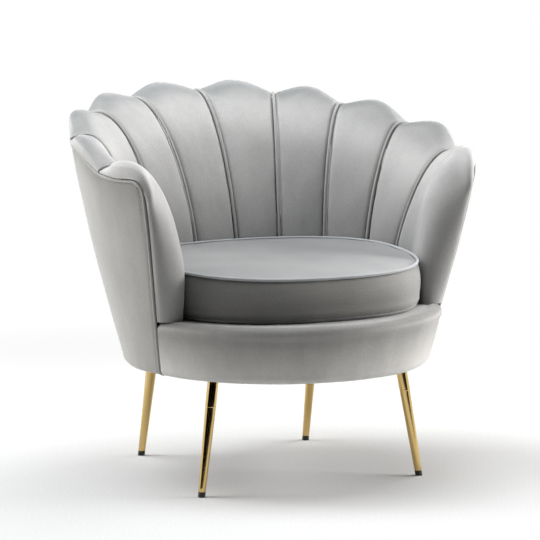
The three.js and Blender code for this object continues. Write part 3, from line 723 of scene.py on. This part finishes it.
def arm_end(radius, height):
    """Angle at which the arm channel's wall ends and its front begins."""
    depth = unit((shell_radius(height) - radius) / ROLL) ** 2
    top = crest_height(WELT_TOP) + petal_rise(WELT_TOP)
    turn = lerp(END_LOW, END_HIGH, (height - SEAT) / (top - SEAT))
    return welt_angle(height) + degrees_of(WELT_ROOM, radius) + depth * turn


def relaxed(grid, share):
    """Evens a grid of points out towards their neighbours; its outer edges stay."""
    for _ in range(EVEN_ROUNDS):
        middle = (grid[:-2, 1:-1] + grid[2:, 1:-1] + grid[1:-1, :-2] + grid[1:-1, 2:]) / 4
        grid[1:-1, 1:-1] += (middle - grid[1:-1, 1:-1]) * EVEN_STEP * share[1:-1, 1:-1, None]
    return grid


def spine_heights(radius, height, top):
    """Where points of the arm's last section end on the welt: as far up as they lie along it."""
    steps = np.hypot(np.diff(radius), np.diff(height))
    travel = np.r_[0, np.cumsum(steps)]
    if height[0] > height[-1]:
        travel = travel[-1] - travel
    share = travel / travel.max()
    return lerp(SEAT, top, share * (1 + SPINE_EASE - SPINE_EASE * share))


def arm_section(across):
    """Angles, radii and heights of the arm channel, front then back, and the seam's distance."""
    angle_at = lambda up: lerp(seam_angle(LAST, up), seam_angle(LAST + 1, up), across)
    insets = (PADDING, FIT) if across < BEFORE_FRAME else (BESIDE_FRAME, BESIDE_FRAME)
    placed = []
    for rows in section(angle_at, across, min(across, 0.5), *insets):
        radius, height, up = rows.T
        start = seam_angle(LAST, up) + degrees_of(CORD_ROOM, radius)
        angle = lerp(start, arm_end(radius, height), across)
        if not placed:
            room = np.radians(angle - start) * radius
        elif FRAME_EDGE[0] < across < FRAME_EDGE[1]:
            angle[1:] = FRAME_END
        placed.append((angle, radius, height))
    return placed, room


def round_front(last, turn, side):
    """One section of the arm's front, turned on from the last section of its wall."""
    inward = (1 - np.cos(turn)) / 2
    rings = []
    for angle, radius, height in last:
        spine = spine_heights(radius, height, welt_height(WELT_TOP))
        depth = unit((shell_radius(height) - radius) / ROLL)
        bulge = ARM_BULGE * np.sin(turn) ** ROUND_TURN * depth ** ROUND_DEPTH
        new_height = lerp(height, spine, np.sin(turn / 2))
        new_radius = lerp(radius, shell_radius(spine) - FIT, inward)
        welt = welt_angle(new_height) + degrees_of(WELT_ROOM, new_radius)
        forward = degrees_of(bulge + ROUND_FORWARD * turn / np.pi, new_radius)
        rings.append(polar(side * (lerp(angle, welt, inward) + forward), new_radius, new_height))
    return rings


def fuller(grid):
    """Fills the arm's front out at its middle and evens it."""
    near_front = smooth(*NEAR_FRONT, np.arange(len(grid), dtype=float))[:, None]
    level, away = grid[:, :, 2] / MM, np.hypot(grid[:, :, 0], grid[:, :, 1] - AXIS_Y) / MM
    plump = FULLER * bell(level, *FULLER_BAND) * unit((shell_radius(level) - away) / ROLL)
    plump *= near_front / away
    grid[..., :2] -= (grid[..., :2] - [0, AXIS_Y]) * plump[..., None]
    return relaxed(grid, near_front * smooth(*EVEN_FROM, grid[:, :, 2]))


def arm_channel(side):
    """The last channel, which runs on round the front of the arm."""
    fronts, backs, seams = [], [], []
    for across in ARM_SHARES:
        placed, room = arm_section(across)
        if across < 1:
            for rings, (angle, radius, height) in zip((fronts, backs), placed):
                rings.append(polar(side * angle, radius, height))
            seams.append(room)
    for turn in FRONT_TURNS:
        front, back = round_front(placed, turn, side)
        fronts.append(front)
        backs.append(back)
        seams.append(np.minimum(room, (1 - turn / np.pi) * SEAM_AWAY + SEAM_LEAST))
    name = f"channel_{side_name(side)}_arm"
    close_body(name, fuller(np.array(fronts)), backs, seams, ARM_SEED + side)


# Pipings and the outer welt

CORD_LEVELS = np.r_[np.linspace(0, 1, 44), np.linspace(1, 1.9, 19)[1:]]
CORD_STEP = 0.01
CORD_PROUD = 1
CORD_WOBBLE, WELT_WOBBLE = 0.12, 0.15
WELT_RISE = np.linspace(0, 1, 70)
WELT_RIM = np.r_[WELT_TOP - np.linspace(0, 2.8, 12)[1:], np.linspace(111.5, 0, 190)]


def seam_path(index, side):
    """Along a seam between two channels, up the wall and over the roll to the welt."""
    foot = seam_angle(index, 0.0)
    low = [polar(side * foot, inside_radius(foot) + CORD_PROUD, h) for h in UNDER]
    angle = seam_angle(index, wall_share(CORD_LEVELS))
    radius, height = wall_point(angle, 0.0, CORD_LEVELS, 0.0)
    next_radius, next_height = wall_point(angle, 0.0, CORD_LEVELS + CORD_STEP, 0.0)
    along = np.stack([next_radius - radius, next_height - height])
    out, up = along / np.linalg.norm(along, axis=0)
    path = polar(side * angle, radius + up * CORD_SINK, height - out * CORD_SINK)
    return np.r_[low, path]


def welt_path():
    """Up one arm's front, behind all the petals and down the other arm's front."""
    height = np.r_[lerp(FOOT + FIT, welt_height(WELT_TOP), WELT_RISE), welt_height(WELT_RIM)]
    angle = np.r_[welt_angle(height[:len(WELT_RISE)]), WELT_RIM]
    half = polar(angle, shell_radius(height) - CORD_PROUD, height)
    return np.r_[half, half[-2::-1] * [-1, 1, 1]]


# Outer panel: columns round the arm and the back, its thickness, its edge and its padding
PANEL_ARM, PANEL_BACK = 18, 120
PANEL_TURN = 108
PANEL_EDGE = 3.6
PANEL_THICK = 4
PANEL_PLUSH = (1.6, 1.2, 3)
PANEL_UNEVEN = (0.7, 0.16, 5)
UNEVEN_FROM = 30
PANEL_ROWS = 34
FOOT_ROWS = 9
HELD_ROWS = 4
PANEL_FACING = 15
# Painted shade below the welt: share, and width in millimetres
UNDER_WELT, UNDER_WELT_WIDTH = 0.24, 42

# Second seam of the panel: its groove, and its stitches
GROOVE, GROOVE_WAVE, GROOVE_WIDTH = 1.1, 0.35, 1.7
GROOVE_START, GROOVE_END = (470, 540), (596, 606)
GROOVE_PITCH = 16
STITCHES = np.arange(546, 602, 8)
STITCH_LENGTH, STITCH_POINTS = 4.6, 5
STITCH_TURN, STITCH_TURN_FROM = 6, (580, 610)
STITCH_SLANT, STITCH_SINK = 0.5, 0.9


def shell_rows(top, count):
    """Outer side of a panel on the shell, from its underside to a top height."""
    turn = np.radians(np.linspace(0, 90, FOOT_ROWS))
    heights = np.linspace(FOOT + FOOT_EDGE, top, count)[1:]
    radius = np.r_[LIP, SHELL_FOOT - FOOT_EDGE * (1 - np.sin(turn)), shell_radius(heights)]
    height = np.r_[FOOT, FOOT + FOOT_EDGE * (1 - np.cos(turn)), heights]
    return radius, height


def sewn_panel(name, fronts, backs, amount, row):
    """Puffs a panel's outer side out, its foot held, and closes it with its inner side."""
    amount[:, :HELD_ROWS] = 0
    grid = puffed(fronts, amount, row, PANEL_FACING, 1)
    piece = loft(name, np.concatenate([grid, np.array(backs)], axis=1))
    return piece, to_polar(vertex_array(piece))


def panel_padding(grid, edge, plush, uneven):
    """How far a sewn panel swells, unevenly away from its edges."""
    depth, width, seed = uneven
    return swell(edge, *plush) + depth * waves(grid, width, seed) * unit(edge / UNEVEN_FROM)


def outer_panel():
    """The plain panel round the outside of back and arms, with a second seam at the arms."""
    last = WELT_TOP - degrees_of(WELT_ROOM, SHELL_RIM)
    half = np.r_[np.linspace(last, PANEL_TURN, PANEL_ARM), np.linspace(PANEL_TURN, 0, PANEL_BACK)[1:]]
    fronts, backs, edges = [], [], []
    for column in np.r_[half, -half[-2::-1]]:
        ahead = min(abs(column) + degrees_of(WELT_ROOM, SHELL_RIM), WELT_TOP)
        top = welt_height(np.array([column, ahead])).min() - PANEL_EDGE
        radius, height = shell_rows(top, PANEL_ROWS)
        share = (welt_angle(height) - degrees_of(WELT_HALF, radius)) / last
        fronts.append(polar(column * share, radius, height))
        inner = np.maximum(radius[::-1] - PANEL_THICK, LIP)
        backs.append(polar(column * share[::-1], inner, np.maximum(height[::-1], FOOT + PANEL_THICK)))
        end = np.radians(np.abs(welt_angle(height) - np.abs(column * share))) * radius - WELT_HALF
        edges.append(np.minimum(end, top - height))
    grid, edge = np.array(fronts), np.array(edges)
    amount = panel_padding(grid, edge, PANEL_PLUSH, PANEL_UNEVEN)
    level = grid[..., 2] / MM
    seam = bell(edge + WELT_HALF, STITCH_INSET, GROOVE_WIDTH) * smooth(*GROOVE_START, level)
    seam *= fade(*GROOVE_END, level)
    amount -= seam * (GROOVE + GROOVE_WAVE * np.sin(level * 2 * np.pi / GROOVE_PITCH))
    piece, (angle, _, height) = sewn_panel("velvet_outer_panel", grid, backs, amount, 0)
    # Painted shade on the panel below the welt
    below = welt_height(np.minimum(np.abs(angle), WELT_TOP)) - height
    mark(piece, "shade", UNDER_WELT * bell(below, 0, UNDER_WELT_WIDTH))
    finish_piece(piece, OUTER, "chair", "outer_panel")
    for side in (1, -1):
        stitches(side)


def stitches(side):
    """The short stitches of a second seam beside the welt, at the arm's front."""
    work = bmesh.new()
    slant = np.linspace(-STITCH_SLANT, STITCH_SLANT, STITCH_POINTS)
    dip = STITCH_SLANT * np.sin(np.linspace(0, np.pi, STITCH_POINTS))
    for start in STITCHES:
        height = np.linspace(start, start + STITCH_LENGTH, STITCH_POINTS)
        radius = shell_radius(height)
        inset = STITCH_INSET + STITCH_TURN * smooth(*STITCH_TURN_FROM, height)
        turn = welt_angle(height) - degrees_of(inset + slant, radius)
        path = polar(side * turn, radius + dip - STITCH_SINK, height)
        stitch = tube("stitch", path, STITCH, sides=6)
        mesh = stitch.data
        work.from_mesh(mesh)
        bpy.data.objects.remove(stitch)
        bpy.data.meshes.remove(mesh)
    name = f"velvet_stitches_{side_name(side)}"
    mesh = bpy.data.meshes.new(name)
    work.to_mesh(mesh)
    work.free()
    mesh.shade_smooth()
    mesh.materials.append(THREAD)
    row = link(name, mesh)
    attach(row, "chair")


# Front border: its inner outline, and its padding
RIM_DEPTH, RIM_INSET = 15.8, 23.7
BORDER_INNER = 294
BORDER_STEP = (251.3, 232)
BORDER_COLUMNS, BORDER_ROWS, RIM_ROWS = 121, 16, 12
BORDER_PLUSH = (1.8, 1.2, 3)
BORDER_UNEVEN = (0.6, 0.12, 11)
RIM_SWELL, RIM_SWELL_BAND = 2.2, (-9, 6)
RIM_DIP, RIM_DIP_BAND = 1.2, (-27, 8)
RIM_FROM = 12

# Painted shade to the rim and in a band below it, and painted light to the foot
RIM_DARK, RIM_DARK_FROM = 0.52, (-11, -4)
BAND_DARK, BAND = 0.2, (-24, 14)
FOOT_LIGHT, FOOT_LIGHT_TO = 0.54, (4, 78)


def front_border():
    """The padded border under the cushion's front, with its rolled upper rim."""
    deck_radius = shell_radius(DECK - RIM_DEPTH) - RIM_INSET
    roll_foot = DECK - FRONT_ROLL
    turn = np.radians(np.linspace(0, 90, RIM_ROWS)[1:])
    radius, height = shell_rows(roll_foot, BORDER_ROWS)
    roll = shell_radius(roll_foot) - FRONT_ROLL * (1 - np.cos(turn))
    outer = np.r_[radius, roll, deck_radius], np.r_[height, roll_foot + FRONT_ROLL * np.sin(turn), DECK]
    inner = (np.array([deck_radius, BORDER_INNER, BORDER_INNER, LIP]),
             np.array([DECK - RIM_DEPTH, *BORDER_STEP, FOOT + PANEL_THICK]))
    fronts, backs, edges = [], [], []
    for share in half_turn(BORDER_COLUMNS):
        for rings, (radius, height) in ((backs, inner), (fronts, outer)):
            end = welt_angle(height) + degrees_of(WELT_HALF, radius)
            angle = lerp(end, 360 - end, share)
            rings.append(polar(angle, radius, height))
        edges.append(np.radians(np.minimum(angle - end, 360 - end - angle)) * radius)
    grid, edge = np.array(fronts), np.array(edges)
    amount = panel_padding(grid, edge, BORDER_PLUSH, BORDER_UNEVEN)
    level = grid[..., 2] / MM - DECK
    roll = RIM_SWELL * bell(level, *RIM_SWELL_BAND) - RIM_DIP * bell(level, *RIM_DIP_BAND)
    amount += roll * unit(edge / RIM_FROM)
    amount[:, -1] = 0
    piece, (_, _, height) = sewn_panel("velvet_front_border", grid, backs, amount, len(grid) // 2)
    # Painted shade at the rim and in a band below it, and painted light towards the foot
    dark = RIM_DARK * smooth(*RIM_DARK_FROM, height - DECK) + BAND_DARK * bell(height - DECK, *BAND)
    mark(piece, "shade", dark - FOOT_LIGHT * fade(*FOOT_LIGHT_TO, height - FOOT))
    finish_piece(piece, BORDER, "chair", "front_border")


# Cushion: its outline inside the wall, its two seams and its slack
CUSHION_INSET, CUSHION_ROOM = 6.5, 4
SEAM_FRONT, SEAM_REAR = 84, 107
LOW_SEAM = SEAT + 9
AROUND = np.linspace(0, 360, 144, endpoint=False)
UNDER_LIFT, UNDER_SHARES = 0.6, (0.12, 0.4, 0.7, 0.9)
UNDER_EDGE, UNDER_EDGE_LIFT = 6, 2
WALL_INSET, WALL_ROWS = 0.5, 13
TOP_SHARES, TOP_SLACK = (0.985, 0.95, 0.85, 0.7, 0.5, 0.3, 0.12), 5

# Filling: grid and most swell in metres, hold beside the seams in millimetres, steps
CLOTH_GRID = 0.005
MOST_SWELL = 0.009
HOLD_WIDTH, HOLD_EASE, HOLD_HEIGHT = 14, 0.7, 3
FILL_STEPS = 20

# Groove at the upper seam, swell at the lower seam and at the side, more where it is free,
# and the crown's unevenness in metres
SEAM_GROOVE, SEAM_GROOVE_WIDTH = 3.4, 5
BELLY, BELLY_BAND = 2.5, (6, 9)
AT_SIDE = (-12, -2)
FREE_FROM = (96, 125)
SIDE_SWELL, SIDE_SWELL_FREE = 2, 4.5
SIDE_MOST, SIDE_MOST_FREE = 1.5, 6
CROWN_FROM = 2
CROWN_DEPTH, CROWN_WIDTH, CROWN_SEED = 0.0008, 0.07, 21

# Painted light and shade, by the share of its half width: painted shade on the side by the left arm,
# lighter to the right of the top and darker to its left, and a cooler painted shade on the top
ON_TOP_FROM = (-4, 3)
HALF_WIDTH = 260
SIDE_PAINTED_SHADE, SIDE_DARK, SIDE_DARK_FROM = -0.03, 0.42, (0.35, 0.95)
TOP_PAINTED_SHADE, TOP_LIGHT = -0.06, 0.32
TOP_PAINTED_TINT = 0.35


def cushion_radius(angle):
    return inside_radius(angle, CUSHION_INSET) - CUSHION_ROOM


def seam_plane(y):
    """Height of the upper seam's sloping plane."""
    front, rear = cushion_radius(180.0), cushion_radius(0.0)
    return SEAT + lerp(SEAM_FRONT, SEAM_REAR, (y + front) / (rear + front))


def seam_height(angle):
    return seam_plane(cushion_radius(angle) * cos_of(angle))


def cushion_start():
    """The cushion before it is filled: a little slack, with its seams where they stay."""
    edge, top = cushion_radius(AROUND), seam_height(AROUND)
    centre = seam_plane(0.0)
    rings = [(edge * share, SEAT + UNDER_LIFT) for share in UNDER_SHARES]
    rings.append((edge - UNDER_EDGE, SEAT + UNDER_EDGE_LIFT))
    rings += [(edge - WALL_INSET, lerp(LOW_SEAM, top, share)) for share in np.linspace(0, 1, WALL_ROWS)]
    rings += [(edge * share, lerp(centre, top, share) + TOP_SLACK * (1 - share ** 2))
              for share in TOP_SHARES]
    return loft("cushion_body", np.array([polar(AROUND, *ring) for ring in rings]))


def fill_cushion(piece):
    """Blows the cushion up as cloth, held at its seams and its underside."""
    remesh = piece.modifiers.new("remesh", "REMESH")
    remesh.mode = "VOXEL"
    remesh.voxel_size = CLOTH_GRID
    apply_modifiers(piece)
    rest = vertex_array(piece)
    angle, radius, height = to_polar(rest)
    inward = radius - cushion_radius(angle)
    seam = np.minimum(np.hypot(inward, height - seam_height(angle)),
                      np.hypot(inward, height - LOW_SEAM))
    held = np.maximum(unit(1 - seam / HOLD_WIDTH) ** HOLD_EASE, height < SEAT + HOLD_HEIGHT)
    group = piece.vertex_groups.new(name="held")
    for i, value in enumerate(held):
        if value > 0:
            group.add([i], float(value), "REPLACE")
    cloth = piece.modifiers.new("cloth", "CLOTH")
    settings = cloth.settings
    settings.quality = 5
    settings.mass = 0.3
    settings.tension_stiffness = 12
    settings.bending_stiffness = 0.6
    settings.use_pressure = True
    settings.uniform_pressure_force = 4
    settings.vertex_group_mass = "held"
    settings.effector_weights.gravity = 0
    cloth.point_cache.frame_start, cloth.point_cache.frame_end = 1, FILL_STEPS
    for step in range(1, FILL_STEPS + 1):
        bpy.context.scene.frame_set(step)
    apply_modifiers(piece)
    bpy.context.scene.frame_set(1)
    moved = vertex_array(piece) - rest
    length = np.linalg.norm(moved, axis=1, keepdims=True)
    set_vertices(piece, rest + moved * np.minimum(1, MOST_SWELL / np.maximum(length, TINY)))
    piece.modifiers.new("finer", "SUBSURF").levels = 1
    apply_modifiers(piece)


def apply_modifiers(piece):
    depsgraph = bpy.context.evaluated_depsgraph_get()
    mesh = bpy.data.meshes.new_from_object(piece.evaluated_get(depsgraph))
    old = piece.data
    piece.modifiers.clear()
    piece.data = mesh
    bpy.data.meshes.remove(old)


def vertex_array(piece):
    values = np.zeros(len(piece.data.vertices) * 3, np.float32)
    piece.data.vertices.foreach_get("co", values)
    return values.reshape(-1, 3).astype(float)


def set_vertices(piece, points):
    piece.data.vertices.foreach_set("co", points.astype(np.float32).ravel())
    piece.data.update()


def cushion():
    """The loose seat cushion."""
    piece = cushion_start()
    fill_cushion(piece)
    angle, radius, height = to_polar(vertex_array(piece))
    edge, seam = cushion_radius(angle), seam_height(angle)
    groove = bell(np.hypot(radius - edge, height - seam), 0, SEAM_GROOVE_WIDTH)
    at_side = smooth(*AT_SIDE, radius - edge)
    belly = bell(height - LOW_SEAM, *BELLY_BAND) * at_side
    share = unit((height - LOW_SEAM) / (seam - LOW_SEAM))
    free = smooth(*FREE_FROM, np.abs(angle))
    side = np.sin(np.pi * share) * at_side * (SIDE_SWELL + SIDE_SWELL_FREE * free)
    most = inside_radius(angle, CUSHION_INSET) + SIDE_MOST + SIDE_MOST_FREE * free
    new_radius = np.minimum(radius + BELLY * belly + side, most) - SEAM_GROOVE * groove
    points = polar(angle, new_radius, height)
    points[:, 2] += CROWN_DEPTH * waves(points, CROWN_WIDTH, CROWN_SEED) * (height > seam - CROWN_FROM)
    set_vertices(piece, points)
    # Painted shade on the side by the left arm, painted light to the right of the top, and a cooler
    # painted shade on the top
    on_top = smooth(*ON_TOP_FROM, height - seam_plane(radius * cos_of(angle)))
    right = radius * sin_of(angle) / HALF_WIDTH
    painted_shade_by_arm = SIDE_DARK * smooth(*SIDE_DARK_FROM, -right) + SIDE_PAINTED_SHADE
    mark(piece, "shade", lerp(painted_shade_by_arm, TOP_PAINTED_SHADE - TOP_LIGHT * right, on_top))
    mark(piece, "turned", TOP_PAINTED_TINT * on_top)
    piece.data.shade_smooth()
    finish_piece(piece, SEAT_CLOTH, "cushion", "seat_cushion")


# Legs: side, foot and top of each; profiles as radius and height, the lower end's from the
# leg's bottom, the faint ring's from its own height and the glide's from the floor

ENDS = {"front": ((235, -163), (200, -144)), "rear": ((187, 252), (180, 198))}
CORNERS = {f"{end}_{side_name(side)}": (side, *places)
           for end, places in ENDS.items() for side in (1, -1)}
LEG_BOTTOM = 9.8
LEG_TOP = 232.5
LEG_SIDES, LEG_SHARP = 48, 35
RING_SHARE = 0.27
LEG_END = [(6.2, 0), (7, 0.5), (7.2, 1.6)]
TAPER = (7.2, 10.6)
TAPER_SHARES = np.linspace(0.06, 1, 18)
RING_START = 1.6
RING = [(10.64, -0.8), (10.76, -0.4), (10.76, 0.2), (10.72, 0.7), (10.8, 3)]
STRAIGHT, STRAIGHT_START, STRAIGHT_END, STRAIGHT_ROWS = 10.86, 6, 1, 5
GLIDE = [(6.4, 0), (7.1, 0.7), (7.2, 2), (7.2, 6.6), (6.9, 6.9),
         (6.9, 7.3), (7.2, 7.6), (7.2, 9.2), (6.6, 9.6)]


def turned(name, profile, corner):
    """A turned solid that leans as its leg does; the profile is radius against height."""
    side, foot, top = CORNERS[corner]
    turns = np.linspace(0, 2 * np.pi, LEG_SIDES, endpoint=False)
    rings = []
    for radius, height in profile:
        share = height / LEG_TOP
        x = side * lerp(foot[0], top[0], share) + radius * np.cos(turns)
        y = lerp(foot[1], top[1], share) + radius * np.sin(turns)
        rings.append(np.stack([x * MM, y * MM + AXIS_Y, np.full(LEG_SIDES, height * MM)], axis=1))
    return loft(name, np.array(rings), LEG_SHARP)


def leg_profile():
    """A slim taper with a faint ring where the straight top part begins."""
    top = LEG_TOP - FIT
    ring = lerp(top, LEG_BOTTOM, RING_SHARE)
    profile = [(radius, LEG_BOTTOM + up) for radius, up in LEG_END]
    profile += [(lerp(*TAPER, share), lerp(LEG_BOTTOM, ring - RING_START, share))
                for share in TAPER_SHARES]
    profile += [(radius, ring + up) for radius, up in RING]
    heights = np.linspace(ring + STRAIGHT_START, top - STRAIGHT_END, STRAIGHT_ROWS)
    return profile + [(STRAIGHT, height) for height in heights] + [(TAPER[1], top)]


# The pieces

def piping(name, path, wobble, seed=0):
    piece = tube("velvet_" + name, path, wobble=wobble, seed=seed)
    finish_piece(piece, PIPING, "chair", name)


for side in (1, -1):
    for index in range(LAST):
        channel(index, side)
    arm_channel(side)
    for index in range(1, LAST + 1):
        path = seam_path(index, side)
        piping(f"piping_{side_name(side)}_{index}", path, CORD_WOBBLE, index)
piping("piping_centre", seam_path(0, 1), CORD_WOBBLE)
piping("outer_welt", welt_path(), WELT_WOBBLE)
outer_panel()
front_border()
cushion()

# The cushion's cords: height, how far each is sunk, and its painted shade
cords = {
    "cushion_cord_top": (seam_height(AROUND), 0.6, 0.0),
    "cushion_cord_bottom": (SEAT + 5, 3.5, 0.6),
}
for name, (height, sink, shade) in cords.items():
    path = polar(AROUND, cushion_radius(AROUND) - sink, height)
    piece = tube("velvet_" + name, path, closed=True, wobble=CORD_WOBBLE)
    # Painted shadow on the lower cord, where it lies behind the border's rim
    mark(piece, "shade", np.full(len(piece.data.vertices), shade))
    finish_piece(piece, CUSHION_PIPING, "cushion", name)

gold, rubber = polished_gold(), moulded_rubber()
for corner in CORNERS:
    piece = turned("gold_leg_" + corner, leg_profile(), corner)
    finish_piece(piece, gold, "chair", "leg_" + corner)
    piece = turned("foot_glide_" + corner, GLIDE, corner)
    finish_piece(piece, rubber, "chair", "glide_" + corner)

wood, steel = plywood(), brushed_steel()
strap = woven("webbing", (26, 26, 28), (52, 52, 55), 900)
under = woven("dust_cover", (22, 22, 24), (40, 40, 43), 500, 0.2)
carried = {"leg_plate": steel, "webbing_a": strap, "dust_cover": under, "seat_deck": DECK_CLOTH}
for name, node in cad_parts.items():
    if not node.hide_render:
        found = [look for start, look in carried.items() if name.startswith(start)]
        node.data.materials.clear()
        node.data.materials.append(found[0] if found else wood)

# Studio, in metres: the floor and where it turns white, the dark cloth as distance and
# height, the view's direction, target and distance, and the lamps' middle

FLOOR_HALF = 40
FLOOR_WHITE = (0.9, 1.9)
CARD = ((1.2, 0.012), (6.4, 0.04), (6.4, 3.2))
CARD_SPREAD, CARD_COLUMNS = 70, 13
VIEW = (-0.4218, -0.8965, 0.1357)
VIEW_TARGET, VIEW_AWAY = Vector((-0.014, AXIS_Y, 0.404)), 5.432
LAMP_MIDDLE = Vector((0, AXIS_Y, 0.42))
FILL = 0.01
WARM = (1, 0.985, 0.965)
COOL = (0.95, 0.985, 1)

# Lamps: degrees from the rear, rise in degrees, distance, size, strength and colour
LAMPS = {
    "right_front": (110, 18, 3.0, 1.6, 90, WARM),
    "right": (80, 18, 3.0, 1.6, 70, WARM),
    "left_rear": (-60, 18, 3.0, 1.6, 66, WARM),
    "left": (-80, 36, 3.0, 1.6, 20, WARM),
    "high_left": (-50, 58, 3.0, 1.6, 62, COOL),
    "top": (0, 90, 2.8, 1.8, 58, COOL),
}


def stage_sheet(name, points, faces, noise, dark, light):
    """A sheet of the studio, and its dull material."""
    mesh = bpy.data.meshes.new(name)
    mesh.from_pydata(points, [], faces)
    piece = link(name, mesh)
    look = Look(name, Roughness=0.9, Specular_IOR_Level=0.0)
    look.links.new(look.tone(look.noise(*noise), dark, light), look.shader.inputs["Base Color"])
    mesh.materials.append(look.material)
    return piece, look


def floor():
    """The floor, which turns white with the distance from the chair."""
    corners = [(x * FLOOR_HALF, y * FLOOR_HALF, 0) for x, y in ((-1, -1), (1, -1), (1, 1), (-1, 1))]
    look = stage_sheet("floor", corners, [(0, 1, 2, 3)], (230, 4, 0.7), [190] * 3, [207] * 3)[1]
    away = look.add("VectorMath", look.place)
    away.operation = "LENGTH"
    white = look.add("Emission").outputs[0]
    blend = look.add("MixShader")
    seen = look.seen_directly()
    far = look.spread(away.outputs["Value"], 0, 1, *FLOOR_WHITE)
    look.fill(blend.inputs, (look.sum(far, seen, "MULTIPLY"), look.shader.outputs[0], white))
    look.links.new(blend.outputs[0], look.nodes["Material Output"].inputs["Surface"])


def dark_card():
    """A dark cloth on and above the floor before the chair, seen only as a stripe in the legs."""
    points = []
    for share in np.linspace(-1, 1, CARD_COLUMNS):
        turn = math.atan2(VIEW[0], VIEW[1]) + share * math.radians(CARD_SPREAD)
        for away, height in CARD:
            points.append((away * math.sin(turn), AXIS_Y + away * math.cos(turn), height))
    rows = len(CARD)
    faces = [(i, i + rows, i + rows + 1, i + 1) for i in range(len(points) - rows) if (i + 1) % rows]
    piece = stage_sheet("dark_card", points, faces, (3, 3), (8, 7, 6), (22, 19, 15))[0]
    piece.visible_camera = piece.visible_diffuse = False
    piece.visible_shadow = piece.visible_transmission = False


def sky():
    """An even fill for the chair's surfaces, and white where the surroundings are seen."""
    world = bpy.data.worlds.new("studio")
    bpy.context.scene.world = world
    world.use_nodes = True
    tree = Tree(world.node_tree)
    ground = tree.nodes["Background"].inputs
    tree.links.new(tree.spread(tree.seen_directly(), FILL, 1, 0, 1), ground["Strength"])
    ground["Color"].default_value = (1, 1, 1, 1)


def soft_light(name, turn, rise, away, size, strength, colour):
    """A square lamp at an angle from the rear, a rise over the level and a distance."""
    light = bpy.data.lights.new(name, "AREA")
    light.shape = "SQUARE"
    light.size = size
    light.energy = strength
    light.color = colour
    turn, rise = math.radians(turn), math.radians(rise)
    level, height = away * math.cos(rise), away * math.sin(rise)
    lamp = link(name, light)
    lamp.location = LAMP_MIDDLE + Vector((level * math.sin(turn), level * math.cos(turn), height))
    lamp.rotation_euler = (LAMP_MIDDLE - lamp.location).to_track_quat("-Z", "Y").to_euler()
    lamp.visible_camera = False


def camera():
    back = Vector(VIEW).normalized()
    data = bpy.data.cameras.new("camera")
    data.sensor_width = 36
    data.lens = 183.5
    piece = link("camera", data)
    piece.location = VIEW_TARGET + back * VIEW_AWAY
    piece.rotation_euler = (-back).to_track_quat("-Z", "Y").to_euler()
    bpy.context.scene.camera = piece


bpy.context.scene.view_settings.view_transform = "Standard"
floor()
sky()
dark_card()
for name, values in LAMPS.items():
    soft_light(name, *values)
camera()
